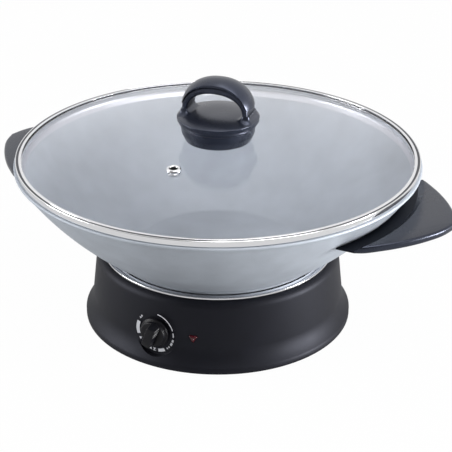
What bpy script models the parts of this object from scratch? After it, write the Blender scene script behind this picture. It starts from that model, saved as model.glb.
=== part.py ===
# Electric wok: a round heated base, a loose two-handled wok that stands in it, and a lift-off glass lid.
#
# Metres, +Z up. The origin is on the table, under the middle of the base. The dial faces -Y,
# the wok's two handles point along +X and -X, and the lid's knob arches along X.
# The base, the dial, the wok and the lid are four groups: each hangs under its own empty.

import math

import bmesh
import bpy
from mathutils import Matrix, Vector

OBJECT_NAME = "electric_wok"

# Facets round a full turn.
WOK_STEPS = 44
BASE_STEPS = 36
KNOB_STEPS = 24
SMALL_STEPS = 12
FASTENER_STEPS = 10
SHAFT_STEPS = 32
LENS_STEPS = 3
TUBE_RESOLUTION = 2
LEAD_TUBE_RESOLUTION = 1
HANDLE_CURVE_STEPS = 2
LEAD_CURVE_STEPS = 2

# Fits, shared by every piece.
FIT_GAP = 0.0003
EDGE_BREAK = 0.0008
CUT_OVERRUN = 0.004
MERGE_DISTANCE = 0.00001
DOMED_HEAD_SHARE = 0.55

# Base shell: a foot lip, a cove that flares to it, a nearly upright wall and a rounded shoulder.
SHELL_BOTTOM = 0.0010
SHELL_HEIGHT = 0.0635
SHELL_WALL = 0.0025
WELL_GAP = 0.0066
LIP_HEIGHT = 0.0048
COVE_DEPTH = 0.0074
COVE_TOP_HEIGHT = 0.0240
WALL_DRAFT = 0.0036
SHOULDER_WIDTH = 0.0066
SHOULDER_HEIGHT = 0.0075
LAND_WIDTH = 0.0046
COVE_POINTS = 3
SHOULDER_POINTS = 3
SHELL_TOP = SHELL_BOTTOM + SHELL_HEIGHT

# Wok: rim, cast wall, floor, and the arc that its wall follows.
RIM_RADIUS = 0.179
WOK_HEIGHT = 0.0960
WOK_SEAT_DEPTH = 0.0095
RIM_LAND = 0.0060
RIM_LIP_DEPTH = 0.0020
RIM_LIP_OVERHANG = 0.0016
NECK_DROP = 0.0030
WOK_WALL = 0.0032
WOK_WALL_ARC = 0.300
WOK_FOOT_RADIUS = 0.0765
WOK_FLOOR_THICKNESS = 0.0050
WOK_ARC_POINTS = 7
MOUTH_RADIUS = RIM_RADIUS - RIM_LAND
WOK_FOOT_HEIGHT = SHELL_TOP - WOK_SEAT_DEPTH
RIM_HEIGHT = WOK_FOOT_HEIGHT + WOK_HEIGHT

# Wok handles: half-moon plates with a valley between the plate and the wall.
HANDLE_STANDOUT = 0.039
HANDLE_ROOT_INSET = 0.021
HANDLE_INNER_INSET = 0.039
HANDLE_HALF_SPAN = 0.077
HANDLE_DROP = 0.0180
HANDLE_THICKNESS = 0.0068
HANDLE_EDGE = 0.0024
HANDLE_SHELF = 0.0026
HANDLE_RIDGE_STANDOUT = 0.0016
HANDLE_VALLEY_SLOPE = 0.0042
HANDLE_REACH = RIM_RADIUS + HANDLE_STANDOUT
HANDLE_ROOT = RIM_RADIUS - HANDLE_ROOT_INSET
HANDLE_INNER = RIM_RADIUS - HANDLE_INNER_INSET
HANDLE_TOP = RIM_HEIGHT - HANDLE_DROP
HANDLE_RIDGE_RADIUS = RIM_RADIUS + HANDLE_RIDGE_STANDOUT
# Half of the outline: how far out between root and reach, and how far along the half span.
HANDLE_OUTLINE_SHARES = (
    (1.0, 0.0),
    (0.945, 0.165),
    (0.87, 0.295),
    (0.70, 0.505),
    (0.50, 0.695),
    (0.30, 0.85),
    (0.15, 0.95),
    (0.02, 1.0),
)
# The loose wok stands a little turned in the base.
HANDLE_ANGLES = {"right": 2, "left": 182}

# Steel brackets under the handles, and the screws through them.
BRACKET_WIDTH = 0.044
BRACKET_STANDOUT = 0.0135
BRACKET_SHEET = 0.0025
BRACKET_REACH = RIM_RADIUS + BRACKET_STANDOUT
HANDLE_SCREW_RADIUS = 0.0019
HANDLE_SCREW_HEAD_RADIUS = 0.0040
HANDLE_SCREW_HEAD = 0.0022
HANDLE_SCREW_GRIP = 0.0045
HANDLE_SCREW_STANDOUT = 0.0075
HANDLE_SCREW_SPACING = 0.026
HANDLE_SCREW_REACH = RIM_RADIUS + HANDLE_SCREW_STANDOUT

# Lid: steel ring round a shallow glass dome. The ring stands on the rim and its spigot centres it.
LID_RING_SETBACK = 0.0017
LID_RING_SHEET = 0.0008
LID_RING_TOP_LIP = 0.0052
LID_SPIGOT_GAP = 0.0007
LID_SPIGOT_DEPTH = 0.0034
GLASS_THICKNESS = 0.0032
GLASS_RISE = 0.0132
GLASS_RIM_MARGIN = 0.0007
GLASS_DOME_POINTS = 4
LID_RING_RADIUS = RIM_RADIUS - LID_RING_SETBACK
LID_SPIGOT_RADIUS = MOUTH_RADIUS - LID_SPIGOT_GAP
GLASS_DOME_RADIUS = LID_RING_RADIUS - LID_RING_TOP_LIP - GLASS_RIM_MARGIN

# Steam vent: a steel eyelet through the glass, in front of the knob.
VENT_REACH = 0.0740
VENT_ANGLE = -92
VENT_BORE_RADIUS = 0.0034
VENT_TUBE_WALL = 0.0014
VENT_FLANGE_WIDTH = 0.0018
VENT_FLANGE = 0.0018
VENT_TUBE_RADIUS = VENT_BORE_RADIUS + VENT_TUBE_WALL
VENT_FLANGE_RADIUS = VENT_TUBE_RADIUS + VENT_FLANGE_WIDTH

# What holds the knob on: an insert in the disc, a screw, a washer and a soft seal under the glass.
KNOB_SCREW_RADIUS = 0.0019
KNOB_SCREW_HEAD_RADIUS = 0.0044
KNOB_SCREW_HEAD = 0.0024
KNOB_SCREW_GRIP = 0.0046
KNOB_BORE_MARGIN = 0.0005
KNOB_WASHER_RADIUS = 0.0078
KNOB_WASHER = 0.0010
KNOB_SEAL_RADIUS = 0.0088
KNOB_SEAL = 0.0014
KNOB_SEAL_WALL = 0.0014
INSERT_RADIUS = 0.0035
INSERT_HEIGHT = 0.0062
KNOB_BORE_RADIUS = KNOB_SCREW_RADIUS + KNOB_BORE_MARGIN
KNOB_SEAL_COLLAR_RADIUS = KNOB_SCREW_RADIUS + FIT_GAP + KNOB_SEAL_WALL
GLASS_HOLE_RADIUS = KNOB_SEAL_COLLAR_RADIUS + FIT_GAP

# Lid knob: a hollow skirt, a disc with an arched strap, and a cap over the strap.
DISC_RADIUS = 0.0363
DISC_STANDOFF = 0.0166
DISC_EDGE = 0.0044
DISC_DOME = 0.0042
DISC_DOME_POINTS = 4
SKIRT_INSET = 0.0027
SKIRT_WAIST_DRAFT = 0.0014
SKIRT_FOOT_DRAFT = 0.0033
SKIRT_WALL = 0.0026
SKIRT_STEP_HEIGHT = 0.0022
SKIRT_BOSS_WALL = 0.0048
ARCH_SPRING_RISE = 0.0101
ARCH_RISE = 0.0293
ARCH_HALF_WIDTH = 0.0113
STRAP_INSET = 0.0063
STRAP_FLARE = 0.0042
# The strap's legs flare to the disc's edge: how far out, and how far down the leg.
STRAP_FLARE_SHARES = (
    (1.0, 1.0),
    (0.9, 0.62),
    (0.3, 0.0),
)
STRAP_SIDE_WALL = 0.0048
STRAP_TOP_WALL = 0.0062
STRAP_EDGE = 0.0016
CAP_SIDE_THICKNESS = 0.0024
CAP_SIDE_OVERHANG = 0.0013
CAP_THICKNESS = 0.0052
CAP_CROWN_RISE = 0.0020
CAP_START_ANGLE = 12
# The knob is screwed on a little turned.
KNOB_TURN = 9
ARCH_POINTS = 13
ARCH_ROUNDING_SHARE = 0.909
SKIRT_TOP_RADIUS = DISC_RADIUS - SKIRT_INSET
SKIRT_WAIST_RADIUS = SKIRT_TOP_RADIUS - SKIRT_WAIST_DRAFT
SKIRT_FOOT_RADIUS = SKIRT_WAIST_RADIUS - SKIRT_FOOT_DRAFT
SKIRT_BOSS_RADIUS = KNOB_BORE_RADIUS + SKIRT_BOSS_WALL
STRAP_OUTER_HALF_SPAN = DISC_RADIUS - STRAP_INSET
STRAP_INNER_HALF_SPAN = STRAP_OUTER_HALF_SPAN - STRAP_SIDE_WALL
CAP_INNER_HALF_SPAN = STRAP_OUTER_HALF_SPAN + FIT_GAP
CAP_HALF_SPAN = CAP_INNER_HALF_SPAN + CAP_SIDE_THICKNESS
CAP_HALF_WIDTH = ARCH_HALF_WIDTH + CAP_SIDE_OVERHANG

# Reflector dish: a bright rolled rim on the shell, a wall, a ledge on the posts, a floor with a hole.
DISH_SHEET = 0.0008
DISH_RIM_OVERHANG = 0.0010
DISH_BEAD_HEIGHT = 0.0020
DISH_BEAD_WIDTH = 0.0030
DISH_WELL_GAP = 0.0008
DISH_WALL_DRAFT = 0.0006
DISH_LEDGE_DEPTH = 0.0201
DISH_LEDGE_WIDTH = 0.0108
DISH_STEP_HEIGHT = 0.0056
DISH_STEP_WIDTH = 0.0026
DISH_HOLE_RADIUS = 0.0240
DISH_BEND = 0.0010
DISH_LEDGE_HEIGHT = SHELL_TOP - DISH_LEDGE_DEPTH
DISH_FLOOR_HEIGHT = DISH_LEDGE_HEIGHT - DISH_STEP_HEIGHT

# Three posts inside the shell carry the dish from above and the bottom cover from below.
POST_INSET = 0.0056
POST_RADIUS = 0.0042
POST_RIB = 0.0030
POST_BORE_RADIUS = 0.0017
POST_BORE_DEPTH = 0.0100
POST_ANGLES = (0, 120, 240)

# Screws of the dish and of the bottom cover.
POST_SCREW_RADIUS = 0.0014
POST_SCREW_HEAD_RADIUS = 0.0032
POST_SCREW_HEAD = 0.0018
POST_SCREW_GRIP = 0.0080

# Hot plate on three cast legs, its bolts, and the tubular element in its underside.
PLATE_MARGIN = 0.0076
PLATE_THICKNESS = 0.0080
PLATE_GROOVE_DEPTH = 0.0044
ELEMENT_RADIUS = 0.0036
ELEMENT_INSET = 0.0180
ELEMENT_GAP_ANGLE = 14
ELEMENT_END_ANGLE = 8
ELEMENT_ARC_POINTS = 31
ELEMENT_TAIL_DROP = 0.0118
ELEMENT_HOLE_MARGIN = 0.0020
ELEMENT_PIN_RADIUS = 0.0012
ELEMENT_PIN_LENGTH = 0.0060
PLATE_BOLT_REACH = 0.0400
PLATE_BOLT_ANGLES = (30, 150, 270)
PLATE_BOLT_RADIUS = 0.0019
PLATE_BOLT_HEAD_RADIUS = 0.0036
PLATE_BOLT_HEAD = 0.0024
PLATE_BOLT_GRIP = 0.0082
PLATE_LEG_RADIUS = 0.0046
PLATE_RADIUS = WOK_FOOT_RADIUS + PLATE_MARGIN
ELEMENT_RING_RADIUS = PLATE_RADIUS - ELEMENT_INSET
ELEMENT_TAIL_HEIGHT = DISH_FLOOR_HEIGHT - ELEMENT_TAIL_DROP
ELEMENT_HOLE_RADIUS = ELEMENT_RADIUS + ELEMENT_HOLE_MARGIN

# Heat sensor under the plate: a bulb in a strap, and the capillary to the thermostat.
SENSOR_RADIUS = 0.0026
SENSOR_HALF_LENGTH = 0.0150
STRAP_PLATE_WIDTH = 0.0100
STRAP_PLATE_LENGTH = 0.0240
STRAP_PLATE_SHEET = 0.0010
CAPILLARY_RADIUS = 0.0007
FUSE_RADIUS = 0.0022
FUSE_HALF_LENGTH = 0.0060
FUSE_OFFSET = 0.0115

# Dial: a round flat let into the cove, a nut, a shaft and a pointer knob.
THERMOSTAT_HEADROOM = 0.0017
DIAL_FLAT_INSET = 0.0004
DIAL_FLAT_RADIUS = 0.0215
DIAL_FLAT_BACKING = 0.0062
DIAL_STANDOFF = 0.0006
DIAL_SKIRT_FLARE = 0.0020
DIAL_SKIRT_TOP = 0.0026
DIAL_BODY_RADIUS = 0.0114
DIAL_BODY_TOP = 0.0062
DIAL_GRIP_RISE = 0.0072
DIAL_GRIP_WIDTH = 0.0076
DIAL_GRIP_MARGIN = 0.0003
DIAL_GRIP_TAPER_SHARE = 0.84
DIAL_GRIP_SINK = 0.0012
DIAL_POINTER_ANGLE = -110
NUT_WALL = 0.0024
NUT_HEIGHT = 0.0022
BUSH_WALL = 0.0018
BUSH_LENGTH = 0.0040
SHAFT_RADIUS = 0.0030
SHAFT_RUNNING_GAP = 0.00008
SHAFT_TIP_DEPTH = 0.0018
THERMOSTAT_WIDTH = 0.0260
THERMOSTAT_DEPTH = 0.0130
THERMOSTAT_HEIGHT = 0.0216
DIAL_HEIGHT = DISH_LEDGE_HEIGHT - DISH_SHEET - THERMOSTAT_HEADROOM - THERMOSTAT_HEIGHT / 2
DIAL_SKIRT_RADIUS = DIAL_BODY_RADIUS + DIAL_SKIRT_FLARE
DIAL_TOP = DIAL_BODY_TOP + DIAL_GRIP_RISE
DIAL_GRIP_LENGTH = 2 * (DIAL_BODY_RADIUS - DIAL_GRIP_MARGIN)
BUSH_RADIUS = SHAFT_RADIUS + BUSH_WALL
NUT_RADIUS = BUSH_RADIUS + NUT_WALL
SHAFT_TIP = DIAL_TOP - SHAFT_TIP_DEPTH

# Pilot lamp, to the right of the dial: a three-sided red lens, a holder and a neon tube.
LAMP_ANGLE = 17.35
LAMP_RISE = 0.0001
LAMP_INSET = 0.0010
LENS_CORNER_RADIUS = 0.0047
LENS_RISE = 0.0018
LENS_EDGE = 0.0004
LENS_DEPTH = 0.0030
HOLDER_WALL = 0.0022
HOLDER_LENGTH = 0.0120
NEON_RADIUS = 0.0030
NEON_GAP = 0.0010
NEON_LENGTH = 0.0085
LAMP_HEIGHT = DIAL_HEIGHT + LAMP_RISE
HOLDER_BORE_RADIUS = NEON_RADIUS + NEON_GAP
HOLDER_RADIUS = HOLDER_BORE_RADIUS + HOLDER_WALL

# Lead inlet at the back: a flat pad on the shell, a snap-in socket and three blades.
INLET_RISE = 0.0014
PAD_STANDOUT = 0.0008
PAD_MARGIN = 0.0020
PAD_DEPTH = 0.0070
FLANGE_SIDE_MARGIN = 0.0032
FLANGE_TOP_MARGIN = 0.0026
FLANGE_THICKNESS = 0.0022
SOCKET_WALL = 0.0018
SOCKET_FLOOR = 0.0040
SOCKET_WIDTH = 0.0240
SOCKET_OPENING_HEIGHT = 0.0164
SOCKET_DEPTH = 0.0168
SOCKET_CHAMFER = 0.0045
BLADE_WIDTH = 0.0020
BLADE_HEIGHT = 0.0040
BLADE_SPACING = 0.0140
BLADE_DROP = 0.0020
BLADE_SETBACK = 0.0050
BLADE_TAIL = 0.0070
INLET_HEIGHT = DIAL_HEIGHT + INLET_RISE
SOCKET_BODY_WIDTH = SOCKET_WIDTH + 2 * SOCKET_WALL
SOCKET_BODY_HEIGHT = SOCKET_OPENING_HEIGHT + 2 * SOCKET_WALL
SOCKET_BODY_DEPTH = SOCKET_DEPTH + SOCKET_FLOOR - EDGE_BREAK
FLANGE_WIDTH = SOCKET_BODY_WIDTH + 2 * FLANGE_SIDE_MARGIN
FLANGE_HEIGHT = SOCKET_BODY_HEIGHT + 2 * FLANGE_TOP_MARGIN
PAD_WIDTH = FLANGE_WIDTH + 2 * PAD_MARGIN
PAD_HEIGHT = FLANGE_HEIGHT + 2 * PAD_MARGIN

# Bottom cover with air slots, and four rubber feet through it.
COVER_SHEET = 0.0020
COVER_RIM_HEIGHT = 0.0018
COVER_STEP_HEIGHT = 0.0016
COVER_STEP_MARGIN = 0.0060
COVER_STEP_WIDTH = 0.0020
COVER_RIM_GAP = 0.0005
SLOT_COUNT = 12
SLOT_REACH = 0.0560
SLOT_LENGTH = 0.0240
SLOT_WIDTH = 0.0030
PAD_FOOT_MARGIN = 0.0090
PAD_FOOT_RADIUS = 0.0080
PAD_FOOT_STEM_RADIUS = 0.0026
PAD_FOOT_HEAD_RADIUS = 0.0040
PAD_FOOT_HEAD = 0.0014
PAD_FOOT_ANGLES = {"front_right": -45, "back_right": 45, "back_left": 135, "front_left": 225}
COVER_MIDDLE_HEIGHT = COVER_RIM_HEIGHT + COVER_STEP_HEIGHT

# Insulated leads inside the base.
LEAD_RADIUS = 0.0011
LAMP_LEAD_RADIUS = 0.0008
LAMP_LEAD_SPACING = 0.0036
LEAD_LIFT = 0.0044


def clear_scene():
    for item in list(bpy.data.objects):
        bpy.data.objects.remove(item, do_unlink=True)


def new_collection(name):
    made = bpy.data.collections.new(name)
    bpy.context.scene.collection.children.link(made)
    return made


def new_material(name, color, roughness, metallic=0.0, transmission=0.0):
    """A plain surface: linear colour, roughness, metallic and see-through shares."""
    made = bpy.data.materials.new(name)
    made.use_nodes = True
    shader = made.node_tree.nodes["Principled BSDF"]
    shader.inputs["Base Color"].default_value = (*color, 1.0)
    shader.inputs["Roughness"].default_value = roughness
    shader.inputs["Metallic"].default_value = metallic
    shader.inputs["Transmission Weight"].default_value = transmission
    return made


MATERIAL_TABLE = {
    "cast_grey": ((0.36, 0.38, 0.41), 0.40, 0.7),
    "steel": ((0.62, 0.62, 0.63), 0.22, 1.0),
    "bright_steel": ((0.75, 0.75, 0.76), 0.12, 1.0),
    "black_shell": ((0.035, 0.036, 0.042), 0.35, 0.0),
    "phenolic": ((0.055, 0.052, 0.065), 0.45, 0.0),
    "rubber": ((0.02, 0.02, 0.02), 0.8, 0.0),
    "glass": ((0.92, 0.95, 0.96), 0.03, 0.0, 0.9),
    "aluminium": ((0.55, 0.55, 0.56), 0.45, 1.0),
    "brass": ((0.60, 0.45, 0.16), 0.3, 1.0),
    "copper": ((0.55, 0.24, 0.12), 0.35, 1.0),
    "silicone": ((0.80, 0.80, 0.78), 0.6, 0.0),
    "red_lens": ((0.16, 0.01, 0.01), 0.15, 0.0, 0.3),
    "cream_plastic": ((0.72, 0.68, 0.58), 0.5, 0.0),
    "lead_brown": ((0.12, 0.05, 0.02), 0.5, 0.0),
    "lead_blue": ((0.03, 0.12, 0.45), 0.5, 0.0),
    "lead_green": ((0.10, 0.35, 0.06), 0.5, 0.0),
}


def adopt(item, material, parent):
    """Gives a finished piece its own material and hangs it under its group's empty."""
    color = MATERIAL_TABLE[material]
    item.data.materials.clear()
    item.data.materials.append(new_material(item.name + "_" + material, *color))
    if parent is not None:
        item.parent = parent
    return item


def mesh_object(name, bm, collection):
    mesh = bpy.data.meshes.new(name)
    bmesh.ops.recalc_face_normals(bm, faces=bm.faces)
    bm.to_mesh(mesh)
    bm.free()
    made = bpy.data.objects.new(name, mesh)
    collection.objects.link(made)
    return made


def as_cutter(item):
    item.hide_render = True
    item.display_type = "WIRE"
    return item


def turned(name, profile, steps, collection, closed=True):
    """A piece turned about its own Z axis, from (radius, height) points down its outer side."""
    bm = bmesh.new()
    points = [bm.verts.new((radius, 0, height)) for radius, height in profile]
    for first, second in zip(points, points[1:]):
        bm.edges.new((first, second))
    if closed:
        bm.edges.new((points[-1], points[0]))
    mesh = bpy.data.meshes.new(name)
    bm.to_mesh(mesh)
    bm.free()
    made = bpy.data.objects.new(name, mesh)
    collection.objects.link(made)
    screw = made.modifiers.new("turn", "SCREW")
    screw.steps = steps
    screw.render_steps = steps
    screw.use_merge_vertices = True
    screw.merge_threshold = MERGE_DISTANCE
    screw.use_smooth_shade = True
    return made


def box(name, size, centre, collection, edge=0.0):
    bm = bmesh.new()
    bmesh.ops.create_cube(bm, size=1.0)
    bmesh.ops.scale(bm, vec=size, verts=bm.verts)
    made = mesh_object(name, bm, collection)
    made.location = centre
    if edge:
        bevel = made.modifiers.new("edges", "BEVEL")
        bevel.width = edge
        bevel.segments = 2
        bevel.limit_method = "ANGLE"
    return made


def rod(name, radius, length, collection, steps=SMALL_STEPS):
    """An upright cylinder whose lower face is at its origin."""
    bm = bmesh.new()
    bmesh.ops.create_cone(bm, cap_ends=True, segments=steps, radius1=radius, radius2=radius, depth=length)
    bmesh.ops.translate(bm, vec=(0, 0, length / 2), verts=bm.verts)
    return mesh_object(name, bm, collection)


def flat_piece(name, outline, thickness, collection, edge=0.0, rounds=2):
    """A flat outline given thickness about its own plane, its edges rounded within its size."""
    data = bpy.data.curves.new(name, "CURVE")
    data.dimensions = "2D"
    data.fill_mode = "BOTH"
    data.extrude = thickness / 2 - edge
    data.bevel_depth = edge
    data.bevel_resolution = rounds
    data.offset = -edge
    spline = data.splines.new("POLY")
    spline.points.add(len(outline) - 1)
    for point, (across, along) in zip(spline.points, outline):
        point.co = (across, along, 0, 1)
    spline.use_cyclic_u = True
    return made_mesh(name, data, collection)


def tube(name, route, radius, collection, resolution=TUBE_RESOLUTION):
    """A round wire or tube along a route of points."""
    data = bpy.data.curves.new(name, "CURVE")
    data.dimensions = "3D"
    data.bevel_depth = radius
    data.bevel_resolution = resolution
    data.use_fill_caps = True
    spline = data.splines.new("POLY")
    spline.points.add(len(route) - 1)
    for point, place in zip(spline.points, route):
        point.co = (*place, 1)
    return made_mesh(name, data, collection)


def made_mesh(name, data, collection):
    """Turns a curve into a mesh object with its caps welded, and removes the curve."""
    curve = bpy.data.objects.new(name + "_curve", data)
    collection.objects.link(curve)
    graph = bpy.context.evaluated_depsgraph_get()
    mesh = bpy.data.meshes.new_from_object(curve.evaluated_get(graph))
    mesh.name = name
    bm = bmesh.new()
    bm.from_mesh(mesh)
    bmesh.ops.remove_doubles(bm, verts=bm.verts, dist=MERGE_DISTANCE)
    bmesh.ops.recalc_face_normals(bm, faces=bm.faces)
    bm.to_mesh(mesh)
    bm.free()
    made = bpy.data.objects.new(name, mesh)
    made.matrix_world = curve.matrix_world
    collection.objects.link(made)
    bpy.data.objects.remove(curve, do_unlink=True)
    return made


def boolean(target, other, operation="DIFFERENCE"):
    step = target.modifiers.new(operation.lower() + "_" + other.name, "BOOLEAN")
    step.operation = operation
    step.object = other
    step.solver = "EXACT"
    return target


def joined(name, pieces, collection):
    """One node that holds several separate solids, such as a set of like screws."""
    graph = bpy.context.evaluated_depsgraph_get()
    bm = bmesh.new()
    for piece in pieces:
        mesh = bpy.data.meshes.new_from_object(piece.evaluated_get(graph))
        mesh.transform(piece.matrix_world)
        bm.from_mesh(mesh)
        bpy.data.meshes.remove(mesh)
    for piece in pieces:
        bpy.data.objects.remove(piece, do_unlink=True)
    return mesh_object(name, bm, collection)


def at(item, place, rotation=(0, 0, 0)):
    item.location = place
    item.rotation_euler = rotation
    bpy.context.view_layer.update()
    return item


def polar(radius, degrees, height=0.0):
    turn = math.radians(degrees)
    return (radius * math.cos(turn), radius * math.sin(turn), height)


def arc_between(start, end, radius, count):
    """Points of the arc from start down to end whose centre lies above both."""
    chord = Vector(end) - Vector(start)
    middle = (Vector(start) + Vector(end)) / 2
    side = Vector((chord.y, -chord.x)).normalized()
    if side.y < 0:
        side = -side
    centre = middle + side * math.sqrt(radius ** 2 - (chord.length / 2) ** 2)
    first = math.atan2(start[1] - centre.y, start[0] - centre.x)
    last = math.atan2(end[1] - centre.y, end[0] - centre.x)
    turns = [first + (last - first) * step / (count - 1) for step in range(count)]
    points = [(centre.x + radius * math.cos(turn), centre.y + radius * math.sin(turn)) for turn in turns]
    return points, centre


def offset_line(points, distance):
    """The same open line moved sideways, to its right when the distance is above zero."""
    moved = []
    for index, point in enumerate(points):
        normals = []
        for other in (index - 1, index):
            if 0 <= other < len(points) - 1:
                run = Vector(points[other + 1]) - Vector(points[other])
                normals.append(Vector((run.y, -run.x)).normalized())
        mean = sum(normals, Vector((0, 0))).normalized()
        reach = distance / mean.dot(normals[0])
        moved.append((point[0] + mean.x * reach, point[1] + mean.y * reach))
    return moved


def smooth_line(points, parts):
    """A smooth curve through the points, with this many parts in each span."""
    places = [Vector(point) for point in points]
    around = zip(places[:1] + places, places[1:] + places[-1:])
    headings = [(after - before).normalized() for before, after in around]
    curve = []
    for start, end, leave, arrive in zip(places, places[1:], headings, headings[1:]):
        reach = (end - start).length
        for step in range(parts):
            curve.append(tuple(curve_point(start, end, leave * reach, arrive * reach, step / parts)))
    return curve + [tuple(places[-1])]


def curve_point(start, end, leave, arrive, share):
    square, cube = share ** 2, share ** 3
    return (
        start * (2 * cube - 3 * square + 1) + leave * (cube - 2 * square + share)
        + end * (3 * square - 2 * cube) + arrive * (cube - square)
    )


# The wok


def wok_wall():
    """Points of the wok's outer wall from the neck down to the foot, and the middle of its arc."""
    neck = (RIM_RADIUS - RIM_LIP_OVERHANG, RIM_HEIGHT - NECK_DROP)
    foot = (WOK_FOOT_RADIUS, WOK_FOOT_HEIGHT)
    return arc_between(neck, foot, WOK_WALL_ARC, WOK_ARC_POINTS)


def wok_radius_at(height):
    centre = wok_wall()[1]
    return centre.x + math.sqrt(WOK_WALL_ARC ** 2 - (height - centre.y) ** 2)


def wok_outside():
    """The wok's outer line, from the rim's outer edge down to the foot."""
    wall, centre = wok_wall()
    lip = [
        (RIM_RADIUS - EDGE_BREAK, RIM_HEIGHT),
        (RIM_RADIUS, RIM_HEIGHT - EDGE_BREAK),
        (RIM_RADIUS, RIM_HEIGHT - RIM_LIP_DEPTH),
    ]
    return lip + wall, centre


def wok_floor_height():
    return WOK_FOOT_HEIGHT + WOK_FLOOR_THICKNESS


def wok_inside(centre):
    """The wok's inner line, from the floor's edge up to the land that the lid rests on."""
    radius = WOK_WALL_ARC - WOK_WALL
    floor_edge_turn = math.asin((wok_floor_height() - centre.y) / radius)
    mouth_turn = -math.acos((MOUTH_RADIUS - EDGE_BREAK - centre.x) / radius)
    line = []
    for step in range(WOK_ARC_POINTS):
        turn = floor_edge_turn + (mouth_turn - floor_edge_turn) * step / (WOK_ARC_POINTS - 1)
        line.append((centre.x + radius * math.cos(turn), centre.y + radius * math.sin(turn)))
    return line + [(MOUTH_RADIUS, RIM_HEIGHT)]


def make_wok_bowl(parts, parent):
    outside, centre = wok_outside()
    profile = [(0, wok_floor_height())] + wok_inside(centre) + outside + [(0, WOK_FOOT_HEIGHT)]
    bowl = turned("wok_bowl", profile, WOK_STEPS, parts, closed=False)
    return adopt(bowl, "cast_grey", parent)


def make_wok_clearance(cutters):
    """The wok's outside, grown by the fit: what seats against the wok is cut by it."""
    outside, centre = wok_outside()
    grown = offset_line(outside[2:], -FIT_GAP)
    profile = [(0, RIM_HEIGHT)] + [(grown[0][0], RIM_HEIGHT)] + grown + [(0, grown[-1][1])]
    return as_cutter(turned("wok_clearance", profile, WOK_STEPS, cutters, closed=False))


def handle_outline():
    length = HANDLE_REACH - HANDLE_ROOT
    half = [(HANDLE_ROOT + out * length, HANDLE_HALF_SPAN * along) for out, along in HANDLE_OUTLINE_SHARES]
    half = smooth_line(half, HANDLE_CURVE_STEPS) + [(HANDLE_INNER, HANDLE_HALF_SPAN)]
    mirrored = [(across, -along) for across, along in reversed(half) if along > 0]
    return mirrored + half


def make_valley(cutters):
    """The ring that clears the valley between the handle's plate and the wok's wall."""
    floor = HANDLE_TOP - HANDLE_THICKNESS + HANDLE_SHELF
    top = HANDLE_TOP + CUT_OVERRUN
    profile = [
        (HANDLE_INNER, top),
        (HANDLE_RIDGE_RADIUS, top),
        (HANDLE_RIDGE_RADIUS, HANDLE_TOP - EDGE_BREAK),
        (HANDLE_RIDGE_RADIUS - HANDLE_VALLEY_SLOPE, floor + EDGE_BREAK),
        (HANDLE_RIDGE_RADIUS - HANDLE_VALLEY_SLOPE - EDGE_BREAK, floor),
        (HANDLE_INNER, floor),
    ]
    return as_cutter(turned("handle_valley", profile, WOK_STEPS, cutters))


def handle_screw_places():
    return [(HANDLE_SCREW_REACH, side * HANDLE_SCREW_SPACING / 2) for side in (-1, 1)]


def bracket_top():
    return HANDLE_TOP - HANDLE_THICKNESS - FIT_GAP


def make_screw(name, radius, length, head_radius, head, collection):
    """A round-headed screw that points up from its head, its lower face at its origin."""
    profile = [
        (0, head + length),
        (radius, head + length),
        (radius, head),
        (head_radius, head),
        (head_radius, head * DOMED_HEAD_SHARE),
        (head_radius * DOMED_HEAD_SHARE, 0),
        (0, 0),
    ]
    return turned(name, profile, FASTENER_STEPS, collection, closed=False)


def make_handle(side, degrees, parts, cutters, parent, clearance, valley):
    turn = (0, 0, math.radians(degrees))
    middle = HANDLE_TOP - HANDLE_THICKNESS / 2
    handle = flat_piece("handle_" + side, handle_outline(), HANDLE_THICKNESS, parts, HANDLE_EDGE, 1)
    at(handle, (0, 0, middle), turn)
    bores = []
    for across, along in handle_screw_places():
        bore_length = HANDLE_SCREW_GRIP + 2 * FIT_GAP + CUT_OVERRUN
        bore = rod("bore", HANDLE_SCREW_RADIUS + FIT_GAP, bore_length, cutters)
        bores.append(at(bore, (across, along, bracket_top() - CUT_OVERRUN)))
    bores = at(as_cutter(joined("handle_bores_" + side, bores, cutters)), (0, 0, 0), turn)
    boolean(boolean(boolean(handle, clearance), valley), bores)
    return adopt(handle, "phenolic", parent)


def make_bracket(side, degrees, parts, cutters, parent, clearance):
    turn = (0, 0, math.radians(degrees))
    length = BRACKET_REACH - HANDLE_INNER
    size = (length, BRACKET_WIDTH, BRACKET_SHEET)
    centre = polar(HANDLE_INNER + length / 2, degrees, bracket_top() - BRACKET_SHEET / 2)
    bracket = at(box("handle_bracket_" + side, size, centre, parts), centre, turn)
    bores = []
    for across, along in handle_screw_places():
        bore = rod("bore", HANDLE_SCREW_RADIUS + FIT_GAP, BRACKET_SHEET + 2 * CUT_OVERRUN, cutters)
        bores.append(at(bore, (across, along, bracket_top() - BRACKET_SHEET - CUT_OVERRUN)))
    bores = at(as_cutter(joined("bracket_bores_" + side, bores, cutters)), (0, 0, 0), turn)
    boolean(boolean(bracket, clearance), bores)
    return adopt(bracket, "steel", parent)


def make_handle_screws(side, degrees, parts, parent):
    length = BRACKET_SHEET + 2 * FIT_GAP + HANDLE_SCREW_GRIP
    bottom = bracket_top() - BRACKET_SHEET - FIT_GAP - HANDLE_SCREW_HEAD
    turn = Matrix.Rotation(math.radians(degrees), 3, "Z")
    for number, (across, along) in enumerate(handle_screw_places(), 1):
        name = "handle_screw_%s_%d" % (side, number)
        screw = make_screw(
            name, HANDLE_SCREW_RADIUS, length, HANDLE_SCREW_HEAD_RADIUS, HANDLE_SCREW_HEAD, parts
        )
        adopt(at(screw, turn @ Vector((across, along, bottom))), "steel", parent)


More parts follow.
